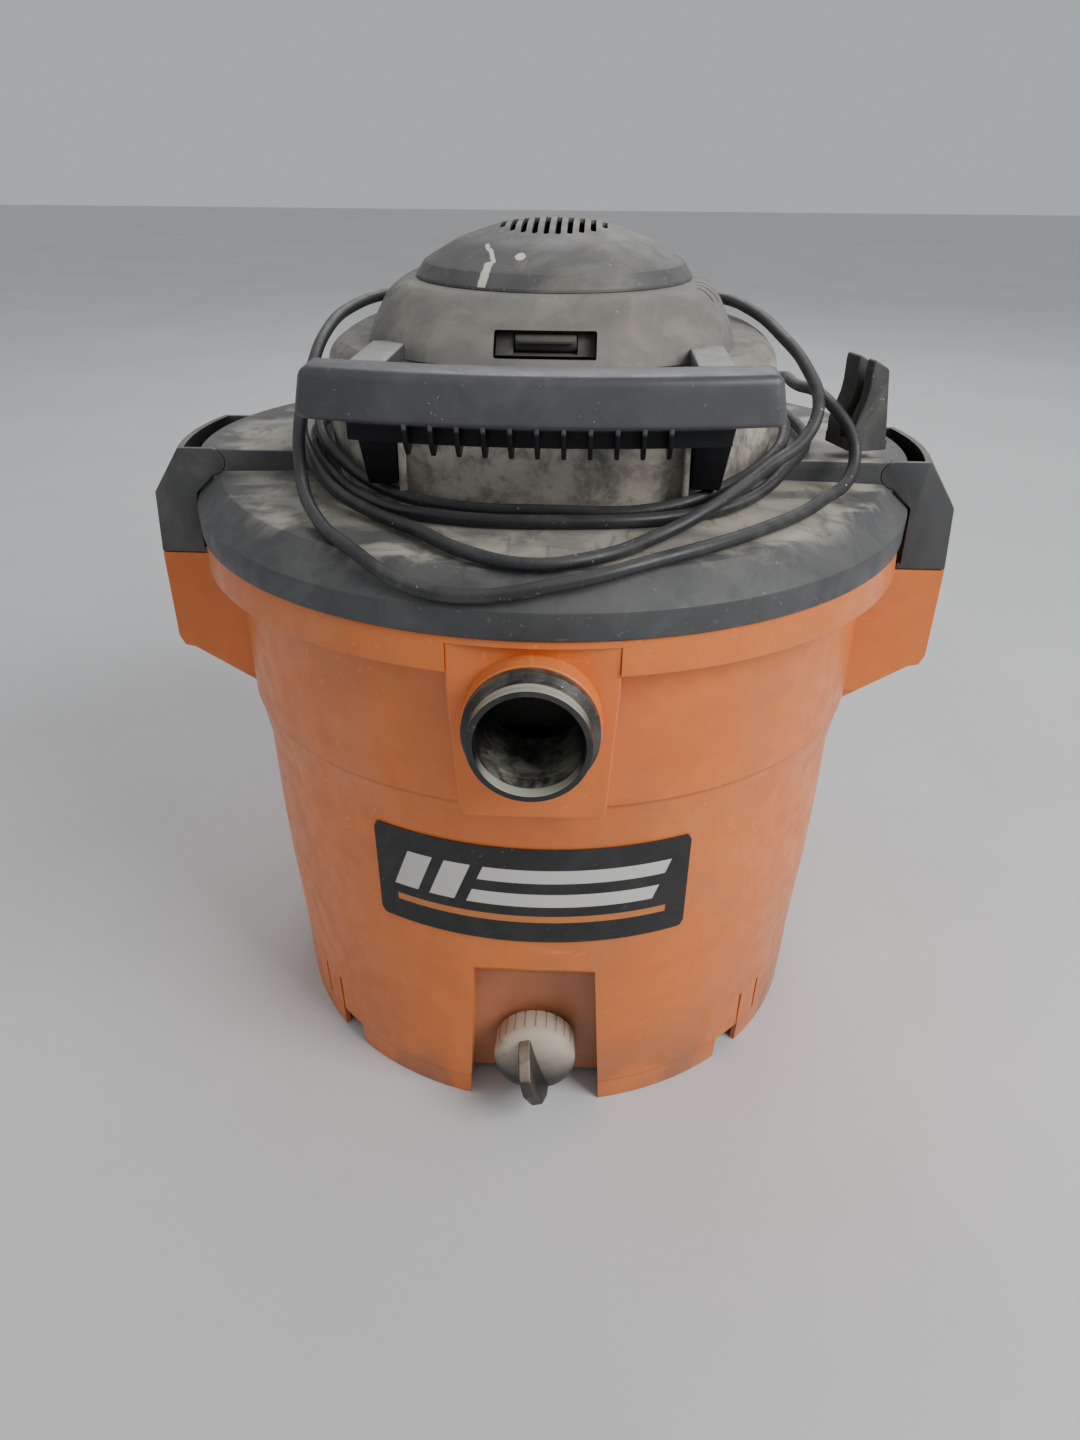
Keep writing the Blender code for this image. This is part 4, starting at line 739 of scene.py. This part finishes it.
# ---- power head
def head_shells(looks):
    base = shell_loft("head_base", smooth_rings(BASE_RINGS), BASE_POWER, 0.003)
    low = -HANDLE_HALF - 0.0003
    wedge = ((low, 0.4), (0.3, 0.4), (0.3, plateau_z(0.3, 0.0003)), (low, plateau_z(low, 0.0003)))
    steps = [cut(prism(wedge, "X", -0.3, 0.3)), cut(cylinder(0.086, 0.48, 0.5, 96)),
        cut(cylinder(0.034, 0.12, 0.16, 72, EXHAUST_AIM)),
        cut(cylinder(0.0062, -SLEEVE_LENGTH - 0.01, -0.015, 36, facing(cord_start(), CORD_EXIT)))]
    # two upright ribs frame the flat front between the handle's legs
    for side in (-1, 1):
        x_low, x_high = sorted((side * 0.08, side * 0.0832))
        steps.insert(0, join(soften(box((x_low, -0.1275, 0.415), (x_high, -0.118, 0.48)), 0.0007)))
    carve(base, steps)
    place(base, "head", "cover_plastic", looks["base"], "motor_base")

    cover = shell_loft("head_cover", smooth_rings(COVER_RINGS, 5), COVER_POWER, 0.0028)
    window = soften(box((-0.0283, -0.135, 0.4947), (0.0283, -0.09, 0.5081)), 0.0012, 3)
    steps = [cut(cylinder(0.076, 0.515, 0.53, 96)), cut(window)]
    # short louvres moulded into both shoulders
    for side in (-1, 1):
        for k in range(3):
            spot = (side * 0.0935, -0.03 - 0.013 * k, 0.5205)
            turn = Matrix.Translation(spot) @ turned(side * 24, "Y") @ turned(side * -28)
            groove = soften(box((-0.009, -0.0011, -0.003), (0.009, 0.0011, 0.003), turn), 0.0005)
            steps.append(cut(groove))
    for x in (-COVER_SCREW, COVER_SCREW):
        for y in (-COVER_SCREW, COVER_SCREW):
            steps.append(cut(cylinder(0.0024, 0.505, 0.53, 24, Matrix.Translation((x, y, 0)))))
    carve(cover, steps)
    place(cover, "head", "cover_plastic", looks["cover"], "motor_cover")

    cap = [(0, 0.5546), (0.033, 0.5513), (0.059, 0.5425), (0.0792, 0.5307), (0.0838, 0.5239),
        (0.0867, 0.5239)]
    cap += rounded(((0.0867, 0.5239), (0.0867, 0.5255), (0.0817, 0.5327), (0.077, 0.5357)), 0.0006)[1:-1]
    cap += rounded(((0.077, 0.5357), (0.06, 0.5452), (0.034, 0.5537), (0.012, 0.5566), (0, 0.5569)), 0.06,
        steps=5, least=3)
    cap = lathe("vent_dome", cap)
    steps = []
    end_r = 0.0017
    for k in range(10):
        x = (k - 4.5) * 0.0069
        half = sqrt(0.033 ** 2 - x ** 2)
        outline = []
        for n in range(16):
            t = pi * (2 * n + 1) / 16
            outline.append((x + end_r * cos(t), -0.01 + copysign(half - end_r, sin(t)) + end_r * sin(t)))
        steps.append(cut(prism(outline, "Z", 0.535, 0.565)))
    place(carve(cap, steps), "head", "cover_plastic", looks["cap"], "vent_cap")

    for number in (1, 2, 3, 4):
        low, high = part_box(f"cover_screw_{number}")
        spot = Matrix.Translation(((low[0] + high[0]) / 2, (low[1] + high[1]) / 2, 0))
        profile = rounded(((0, 0.5101), (0.002, 0.5101), (0.002, 0.5239), (0.0035, 0.5239), (0.0031, 0.5249),
            (0, 0.525)), 0.0005)
        screw = lathe(f"screw_{number}", profile, 32, turn=spot)
        blades = [box((-0.0019, -0.0004, 0.5238), (0.0019, 0.0004, 0.526),
            spot @ turned(90 * k + 25 * number)) for k in (0, 1)]
        carve(screw, [cut(blade) for blade in blades])
        place(screw, "head", "steel", looks["dull_steel"], f"cover_screw_{number}")


def grip_front(x):
    """Front face of the bowed grip."""
    return GRIP_END_Y - GRIP_BOW * (1 - (x / GRIP_HALF) ** 2)


def grip_body(name, inset, low, high, steps=48):
    rings = []
    for k in range(steps + 1):
        share = 2 * k / steps - 1
        ring = []
        for z, back in ((low, False), (low, True), (high, True), (high, False)):
            slant = 0.0055 * (z - GRIP_LOW_Z) / (GRIP_TOP_Z - GRIP_LOW_Z)
            x = share * (GRIP_HALF - slant - inset)
            front = grip_front(x) + inset + 0.35 * slant
            ring.append((x, front + GRIP_DEPTH - 2 * inset if back else front, z))
        rings.append(ring)
    return loft(name, rings)


def rib_wall():
    """The wall that ties the ribs together inside the grip."""
    rings = []
    for k in range(33):
        x = (k / 16 - 1) * RIB_WALL_HALF
        front = grip_front(x) + 0.011
        back = front + 0.003
        rings.append([(x, front, RIB_WALL_LOW_Z), (x, back, RIB_WALL_LOW_Z), (x, back, RIB_WALL_TOP_Z),
            (x, front, RIB_WALL_TOP_Z)])
    return soften(loft("rib_wall", rings), 0.0006)


def handle():
    made = soften(grip_body("grip_and_arms", 0.0, GRIP_EDGE_Z, GRIP_TOP_Z), 0.0055, 6, 50)
    steps = [cut(grip_body("grip_channel", 0.0035, GRIP_LOW_Z - 0.01, GRIP_TOP_Z - 0.0035)), join(rib_wall())]
    for k in range(RIB_COUNT):
        x = (k - RIB_COUNT // 2) * RIB_PITCH
        front = grip_front(x)
        back = front + GRIP_DEPTH - 0.002
        outline = rounded(((front + 0.002, GRIP_LOW_Z + 0.004), (front + 0.002, GRIP_TOP_Z - 0.002),
            (back, GRIP_TOP_Z - 0.002), (back, GRIP_LOW_Z - 0.008), (front + 0.012, GRIP_LOW_Z - 0.0138),
            (front + 0.0045, GRIP_LOW_Z - 0.006)), 0.004, True)
        steps.append(join(soften(prism(outline, "X", x - 0.0012, x + 0.0012), 0.0005)))
    arm = ((-0.18, 0.488), (-0.18, 0.5005), (-0.095, 0.4985), (-0.095, 0.484), (-0.14, 0.484))
    leg = ((-0.128, 0.4248), (-0.131, 0.485), (-0.131, 0.4885), (-0.095, 0.4885), (-0.095, 0.4302),
        (-0.112, 0.4302), (-0.121, 0.4248))
    for side in (-1, 1):
        for outline, xs in ((arm, ARM_X), (leg, LEG_X)):
            bar = prism(outline, "X", *sorted((side * xs[0], side * xs[1])))
            for corner in bar.data.vertices:
                if abs(corner.co.x) > LEG_FOOT_X and corner.co.z < 0.45:
                    corner.co.x = side * LEG_FOOT_X
            steps.append(join(soften(bar, 0.0014, 3)))
    for name, rings, power in (("seat_low", BASE_RINGS, BASE_POWER), ("seat_high", COVER_RINGS, COVER_POWER)):
        grown = [(z, half + 0.0004, front + 0.0004, rear + 0.0004) for z, half, front, rear in rings]
        grown[0] = (grown[0][0] - 0.0004, *grown[0][1:])
        grown[-1] = (grown[-1][0] + 0.0004, *grown[-1][1:])
        tool = loft(name, [superellipse(*ring, power) for ring in smooth_rings(grown)])
        steps.append(cut(tool))
    return carve(made, steps)


def switch(looks):
    outline = ((-0.1168, 0.4951), (-0.105, 0.5076), (-0.09, 0.5076), (-0.09, 0.4951))
    housing = soften(prism(outline, "X", -0.0279, 0.0279, name="switch_box"), 0.0006)
    spot = (0, -0.1085, 0.5008)
    barrel = facing((1, 0, 0), spot)
    clear = cylinder(0.0052, -0.0178, 0.0178, 64, barrel)
    carve(housing, [cut(clear), cut(box((-0.0178, -0.13, 0.4958), (0.0178, -0.1085, 0.5058)))])
    place(housing, "head", "black_plastic", looks["black"], "switch_housing")
    profile = rounded(((0, -0.0171), (0.0047, -0.0171), (0.0047, 0.0171), (0, 0.0171)), 0.0008)
    rocker = lathe("rocker", profile, 64, turn=barrel)
    nub = soften(box((-0.0158, -0.1164, 0.5015), (0.0158, -0.1085, 0.5035)), 0.0006)
    carve(rocker, [join(nub)])
    place(rocker, "switch_rocker", "switch_plastic", looks["switch"], "switch_rocker")


def accessory_holder():
    outline = [(0.2124, 0.429), (0.211, 0.445), (0.2067, 0.4778), (0.2052, 0.4792), (0.1965, 0.484),
        (0.1951, 0.4838)]
    outline += [(0.1946, 0.48), (0.1945, 0.468), (0.1936, 0.461), (0.192, 0.456), (0.19, 0.451),
        (0.1875, 0.444), (0.1875, 0.429)]
    holder = soften(prism(outline, "Y", -0.048, -0.04, name="tool_holder"), 0.0012, 3)
    back = ((0.203, 0.43), (0.2114, 0.43), (0.2069, 0.472), (0.203, 0.472))
    carve(holder, [join(soften(prism(outline, "Y", -0.032, -0.017), 0.0012, 3)),
        join(box((0.1875, -0.048, 0.429), (0.2124, -0.017, 0.435))),
        join(prism(back, "Y", -0.0479, -0.0171))])
    holder.data.transform(Matrix.Translation(HOLDER_SPOT) @ turned(HOLDER_TURN)
        @ Matrix.Translation([-along for along in HOLDER_SPOT]))
    clear = ((-0.09, 0.4), (0.03, 0.4), (0.03, plateau_z(0.03, 0.0003)), (-0.09, plateau_z(-0.09, 0.0003)))
    return carve(holder, [cut(prism(clear, "X", 0.15, 0.25))])


def exhaust():
    tube = ((PORT_BORE_R, 0.1252), (0.0336, 0.1252), (0.0336, 0.1511), (0.0344, 0.1511), (0.0344, 0.25),
        (PORT_R, 0.253), (PORT_R, PORT_REACH), (PORT_BORE_R, PORT_REACH))
    port = lathe("exhaust_tube", tube, 112, True, EXHAUST_AIM, 0.0008)
    return carve(port, [cut(box((-0.045, 0.1, 0.38), (0.045, 0.28, plateau_z(0.12, 0.0003))))])


# ---- cord
def cord_start():
    return (Vector(CORD_ROUTE[1]) - Vector(CORD_ROUTE[0])).normalized()


def cord(looks):
    run = bpy.data.curves.new("mains_cord", "CURVE")
    run.dimensions = "3D"
    run.resolution_u = 8
    run.bevel_depth = CORD_D / 2
    run.bevel_resolution = 5
    run.use_fill_caps = True
    spline = run.splines.new("BEZIER")
    spline.bezier_points.add(len(CORD_ROUTE) - 1)
    for point, spot in zip(spline.bezier_points, CORD_ROUTE):
        point.co = spot
        point.handle_left_type = point.handle_right_type = "AUTO"
    made = show("mains_cord", run)
    place(made, "head", "cord_jacket", looks["cord"], "power_cord")

    # tapered sleeve with rings that let it bend
    sleeve = [(0, -SLEEVE_LENGTH), (0.0058, -SLEEVE_LENGTH), (0.0058, -0.0381), (0.0076, -0.0365)]
    for k in range(7):
        z = -0.0335 + 0.0046 * k
        radius = 0.0073 - 0.00036 * k
        sleeve += [(radius, z), (radius - 0.0009, z + 0.0006), (radius - 0.0009, z + 0.0016),
            (radius - 0.0002, z + 0.0022)]
    sleeve += [(0.0047, -0.0008), (0.0043, -0.0004), (0, -0.0004)]
    sleeve = lathe("bend_sleeve", sleeve, 40, turn=facing(cord_start(), CORD_EXIT))
    place(sleeve, "head", "rubber", looks["rubber"], "cord_strain_relief")

    tip = Vector(CORD_ROUTE[-1])
    aim = (tip - Vector(CORD_ROUTE[-2])).normalized()
    body = rounded(((0, 0.0004), (0.0054, 0.0004), (0.0064, 0.012), (0.0113, 0.018), (0.0119, 0.024),
        (0.0119, 0.03), (0, 0.03)), 0.0012)
    plug = lathe("plug_body", body, 48, turn=facing(aim, tip))
    place(plug, "head", "rubber", looks["rubber"], "power_plug")
    across = aim.cross(Vector((0, 0, 1)))
    for word, offset in (("left", -0.0063), ("right", 0.0063)):
        blade = soften(box((-0.0031, -0.0008, 0.028), (0.0031, 0.0008, PLUG_LENGTH),
            name=f"plug_blade_{word}"), 0.0003)
        blade.data.transform(Matrix.Translation(across * offset) @ facing(aim, tip))
        place(blade, "head", "steel", looks["brass"])


# ---- looks
def paint_marks(look, colour):
    """A pale splash of old paint on the cap: a bent streak and a dot."""
    x, y, z = look.split(look.spot)
    wobble = look.times(look.minus(look.noise(90.0, 4.0), 0.5), 0.006)
    x = look.plus(x, wobble)
    lean = look.minus(x, look.times(look.plus(y, 0.075), 0.34))
    low = look.times(look.ramp(look.math("ABSOLUTE", look.plus(lean, 0.0375)), 0.0034, 0.0026),
        look.between(y, -0.0975, -0.0965, -0.0655, -0.0645))
    lean = look.minus(x, look.times(look.plus(y, 0.057), -0.3))
    high = look.times(look.ramp(look.math("ABSOLUTE", look.plus(lean, 0.0345)), 0.0014, 0.0008),
        look.between(y, -0.0675, -0.0665, -0.046, -0.045))
    far = look.distance(look.plus(x, 0.0175), look.plus(y, 0.066))
    mark = look.larger(look.larger(low, high), look.ramp(far, 0.0034, 0.0026))
    above = look.ramp(z, 0.525, 0.5255)
    return look.mix(look.times(mark, above), colour, (0.68, 0.67, 0.58))


def drum_dirt_and_ledge_shade(look, colour):
    """Dark grime near the foot, painted shade under the drum's small ledge and a little bleaching higher up."""
    x, y, z = look.split(look.spot)
    patch = look.cloud(0.42, 0.68, 14.0, 7.0, 0.8)
    low = look.times(look.ramp(z, 0.085, 0.0), look.plus(look.times(patch, 0.5), 0.1))
    colour = look.mix(low, colour, (0.16, 0.085, 0.05))
    tide = look.between(z, 0.0165, 0.0172, 0.0176, 0.019)
    colour = look.mix(look.times(tide, 0.4), colour, (0.2, 0.09, 0.05))
    deep = look.between(y, -0.192, -0.182, -0.156, -0.15)
    deep = look.times(deep, look.ramp(look.math("ABSOLUTE", x), 0.047, 0.046))
    deep = look.times(deep, look.ramp(z, 0.132, 0.13, 0.0, 0.5))
    colour = look.mix(deep, colour, (0.36, 0.24, 0.165))
    # painted shade: a thin darker band along the underside of the small ledge
    step = look.between(z, 0.259, 0.2608, 0.2618, 0.2632)
    colour = look.mix(look.times(step, 0.45), colour, (0.26, 0.075, 0.022))
    grey = look.times(look.cloud(0.5, 0.74, 6.0, 6.0, 1.0), 0.26)
    return look.mix(grey, colour, (0.36, 0.21, 0.13))


def streaks(look, colour):
    """Caked beige dust on the lid beside the head, wiped away in patches and streaks."""
    x, y = look.split(look.spot)[:2]
    far = look.distance(x, y)
    patch = look.cloud(0.4, 0.58, 17.0, 8.0, 0.9, 0.62)
    wiped = look.ramp(look.noise(7.0, 6.0, 1.0, 0.6, look.stretch((1.0, 3.2, 1.0), (0, 0, 0.6))), 0.38, 0.6)
    edge = look.plus(far, look.times(look.plus(patch, wiped), -0.014))
    near = look.ramp(edge, 0.203, 0.18)
    up = look.ramp(look.up, 0.55, 0.9)
    thick = look.plus(look.times(patch, 0.45), look.times(wiped, 0.35))
    share = look.times(look.times(near, up), look.plus(thick, 0.18), True)
    colour = look.mix(share, colour, (0.44, 0.41, 0.335))
    scratch = look.ramp(look.noise(5.0, 3.0, 0.6, 0.5, look.stretch((30, 6, 8), (0, 0, -0.7))), 0.6, 0.66)
    return look.mix(look.times(look.times(scratch, near), 0.35), colour, (0.09, 0.085, 0.075))


def blotches(look, colour):
    """Grey-beige grime in clouds on the front of the head, heavier on its right side."""
    x = look.split(look.spot)[0]
    cloud = look.cloud(0.33, 0.6, 34.0, 10.0, 0.4, 0.68)
    right = look.ramp(x, 0.085, 0.125, 0.74, 0.9)
    steep = look.ramp(look.up, 0.1, 0.6, 1.0, 0.25)
    share = look.times(look.times(cloud, right), steep)
    colour = look.mix(share, colour, (0.5, 0.465, 0.39))
    dark = look.cloud(0.52, 0.68, 52.0, 9.0, 0.3, 0.66)
    return look.mix(look.times(dark, 0.6), colour, (0.06, 0.057, 0.05))


def handle_shade_and_dust(look, colour):
    """Painted shade on the legs and the ribs under the grip, and a dusty film on the two arms behind it."""
    y, z = look.split(look.spot)[1:]
    # painted shade: the legs and all below the grip's lower edge go nearly black and lose their shine
    leg = look.times(look.ramp(y, -0.136, -0.133), look.ramp(z, 0.488, 0.484))
    under = look.larger(look.ramp(z, 0.4748, 0.4725), leg)
    colour = look.mix(look.times(under, 0.92), colour, (0.006, 0.006, 0.007))
    look.links.new(look.ramp(under, 0.0, 1.0, 0.5, 0.1), look.shader.inputs["Specular IOR Level"])
    arm = look.times(look.ramp(y, -0.166, -0.16), look.ramp(look.up, 0.5, 0.9))
    patch = look.ramp(look.noise(40.0, 7.0, 0.5), 0.3, 0.6, 0.45, 0.85)
    return look.mix(look.times(arm, patch), colour, (0.3, 0.295, 0.27))


def port_dust(look, colour):
    """Chalky dust inside the bore and on the ledge behind the lip."""
    x, y, z = look.split(look.spot)
    far = look.distance(x, look.minus(z, INLET_Z))
    rub = look.times(look.cloud(0.38, 0.66, 60.0, 8.0, 0.6, 0.7),
        look.ramp(far, 0.03, 0.0305, 1.0, 0.4))
    inside = look.ramp(look.up, 0.25, 0.8)
    ledge = look.between(y, -0.264, -0.2636, -0.2548, -0.254)
    share = look.times(inside, look.larger(look.times(rub, 0.55), look.times(ledge, 0.85)))
    return look.mix(share, colour, (0.42, 0.42, 0.33))


def dome_dust(look, colour):
    """Thick beige crust on the top of the drain cap, rubbed off lower down."""
    crust = look.cloud(0.25, 0.48, 60.0, 7.0, 0.6)
    up = look.ramp(look.up, -0.25, 0.35)
    return look.mix(look.times(up, look.plus(look.times(crust, 0.45), 0.5)), colour, (0.5, 0.43, 0.34))


def make_looks():
    return {
        "drum": plastic("drum_orange", (0.76, 0.19, 0.031), (0.6, 0.146, 0.026), 0.36, 0.2, 0.03, 0.16,
                0.3, dust=(0.56, 0.3, 0.16), clouds=0.08, extra=drum_dirt_and_ledge_shade),
        "lid": plastic("lid_grey", (0.04, 0.043, 0.047), (0.068, 0.07, 0.073), 0.5, 0.45, 0.05, 0.3,
                0.6, dust=(0.21, 0.205, 0.185), band=(0.45, 0.95), extra=streaks),
        "latch": plastic("latch_grey", (0.03, 0.032, 0.036), (0.052, 0.054, 0.058), 0.46, 0.45, 0.03, 0.4,
                0.7),
        "base": plastic("base_grey", (0.07, 0.069, 0.065), (0.12, 0.117, 0.107), 0.66, 0.36, 0.22, 0.4,
                0.4, clouds=0.3, extra=blotches),
        "cover": plastic("cover_grey", (0.068, 0.068, 0.069), (0.2, 0.194, 0.18), 0.58, 0.36, 0.15, 0.6,
                0.8, clouds=0.35),
        "cap": plastic("cap_grey", (0.054, 0.055, 0.059), (0.115, 0.115, 0.116), 0.48, 0.22, 0.05, 0.6, 0.8,
                band=(0.72, 0.97), clouds=0.25, extra=paint_marks),
        "grip": plastic("grip_grey", (0.036, 0.038, 0.043), (0.082, 0.085, 0.092), 0.36, 0.1, 0.02, 1.0,
                1.0, dust=(0.2, 0.2, 0.195), band=(0.86, 0.99), extra=handle_shade_and_dust),
        "holder": plastic("holder_grey", (0.024, 0.025, 0.027), (0.048, 0.047, 0.046), 0.5, 0.45, 0.05,
                0.4, 0.7, clouds=0.16),
        "black": plastic("black_trim", (0.018, 0.018, 0.019), (0.034, 0.034, 0.035), 0.5, 0.3, 0.08),
        "port": plastic("port_black", (0.008, 0.008, 0.009), (0.018, 0.018, 0.019), 0.36, 0.12, 0.01, 1.0,
                0.8, extra=port_dust),
        "drain": plastic("drain_crust", (0.022, 0.022, 0.024), (0.04, 0.038, 0.036), 0.6, 0.6, 0.1,
                extra=dome_dust),
        "wing": plastic("wing_black", (0.01, 0.01, 0.011), (0.022, 0.021, 0.02), 0.42, 0.75, 0.01,
                dust=(0.4, 0.34, 0.26), band=(0.52, 0.8), clouds=0.06),
        "label": plastic("label_art", (0.007, 0.0075, 0.009), (0.012, 0.013, 0.015), 0.52, 0.1, 0.01, 0.2,
                0.4, grain=0.05, clouds=0.02, extra=label_print),
        "cord": plastic("cord_rubber", (0.012, 0.0125, 0.015), (0.024, 0.025, 0.028), 0.42, 0.24, 0.02, 1.0,
                1.0, dust=(0.22, 0.215, 0.2), band=(0.3, 0.98)),
        "rubber": plastic("aged_rubber", (0.024, 0.024, 0.025), (0.042, 0.041, 0.04), 0.75, 0.3, 0.08),
        "inner": plastic("inner_grey", (0.11, 0.11, 0.115), (0.15, 0.148, 0.14), 0.6, 0.7, 0.25),
        "switch": plastic("switch_black", (0.03, 0.03, 0.031), (0.05, 0.049, 0.047), 0.45, 0.4, 0.1),
        "float": plastic("float_cream", (0.62, 0.59, 0.5), (0.5, 0.46, 0.37), 0.45, 0.4, 0.1),
        "foam": plastic("foam_dark", (0.045, 0.045, 0.045), (0.065, 0.063, 0.06), 0.92, 0.2, 0.05,
                grain=0.8),
        "carbon": plastic("carbon_brush", (0.035, 0.035, 0.036), (0.06, 0.06, 0.06), 0.45, 0.1, 0.02),
        "paper": paper("pleated_paper"),
        "steel": plain_metal("worn_steel", (0.52, 0.52, 0.5), 0.38),
        "dull_steel": plain_metal("dull_steel", (0.1, 0.1, 0.1), 0.62),
        "alloy": plain_metal("cast_metal", (0.55, 0.55, 0.55), 0.5),
        "copper": plain_metal("dull_copper", (0.6, 0.29, 0.16), 0.42),
        "brass": plain_metal("plug_brass", (0.62, 0.5, 0.25), 0.35),
    }


# looks of the CAD nodes that keep their shape
KEPT = (
    ("rubber", ("drain_seal", "filter_top_seal", "filter_end_cap")),
    ("inner", ("inlet_deflector", "blower_housing", "cooling_fan", "filter_cage")),
    ("foam", ("lid_gasket",)),
    ("steel", ("blower_plate", "motor_shaft", "lower_bearing", "upper_bearing", "motor_stator", "cage_stud")),
    ("alloy", ("impeller", "motor_frame", "end_bracket")),
    ("copper", ("armature_core", "commutator")),
    ("carbon", ("brush_left", "brush_right")),
    ("float", ("float_cup",)),
    ("paper", ("filter_media",)),
    ("black", ("filter_nut",)),
)


def build():
    looks = make_looks()
    cord(looks)
    place(drum_shell(), "drum", "drum_plastic", looks["drum"], "drum")
    drum_fittings(looks)
    place(lid_shell(), "head", "head_plastic", looks["lid"], "lid")
    for side, word in ((-1, "left"), (1, "right")):
        place(latch(side, word), "latch_" + word, "head_plastic", looks["latch"], "latch_" + word)
    head_shells(looks)
    place(handle(), "head", "head_plastic", looks["grip"], "carry_handle")
    switch(looks)
    place(accessory_holder(), "head", "head_plastic", looks["holder"], "accessory_holder")
    place(exhaust(), "head", "black_plastic", looks["black"], "exhaust_port")
    for key, names in KEPT:
        for name in names:
            wear(NODES[name], looks[key])


# ---- studio
SKY_COLOUR = (0.93, 0.95, 0.98, 1.0)
SKY_STRENGTH = 0.5
LAMPS = (  # name, spot, aim, side of the square, watts
    ("key", (1.9, -1.3, 1.9), (0, 0, 0.25), 1.5, 70.0),
    ("fill", (-1.9, -1.0, 1.6), (0, 0, 0.25), 2.0, 3.0),
    ("rim", (0.3, 2.2, 2.2), (0, 0, 0.3), 1.8, 24.0),
)
LENS_MM = 26.58
SENSOR_MM = 36.0
CAMERA_SPOT = (0.0279, -0.7254, 0.6058)
CAMERA_PAN = 2.76
CAMERA_TILT = 60.82
CAMERA_ROLL = 0.4


def studio():
    floor_look = Look("floor_grey", 0.85)
    tone = floor_look.mix(floor_look.cloud(0.3, 0.7, 3.0, 5.0), (0.6, 0.605, 0.61),
        (0.64, 0.645, 0.65))
    floor_look.finish(tone)
    floor = loft("floor",
        [[(x, y, z) for x, y in ((-9, -9), (9, -9), (9, 9), (-9, 9))] for z in (-0.02, 0.0)])
    floor.data.materials.append(floor_look.material)
    world = bpy.data.worlds.new("studio")
    world.use_nodes = True
    sky = world.node_tree.nodes["Background"].inputs
    sky["Color"].default_value = SKY_COLOUR
    sky["Strength"].default_value = SKY_STRENGTH
    bpy.context.scene.world = world
    for name, spot, aim, size, power in LAMPS:
        light = bpy.data.lights.new(name, "AREA")
        light.shape = "SQUARE"
        light.size = size
        light.energy = power
        lamp = show(name, light)
        way = Vector(spot) - Vector(aim)
        lamp.matrix_world = Matrix.Translation(spot) @ way.to_track_quat("Z", "Y").to_matrix().to_4x4()
    lens = bpy.data.cameras.new("camera")
    lens.lens = LENS_MM
    lens.sensor_width = SENSOR_MM
    camera = show("camera", lens)
    turn = turned(CAMERA_PAN) @ turned(CAMERA_TILT, "X") @ turned(CAMERA_ROLL)
    camera.matrix_world = Matrix.Translation(CAMERA_SPOT) @ turn
    bpy.context.scene.camera = camera


build()
studio()
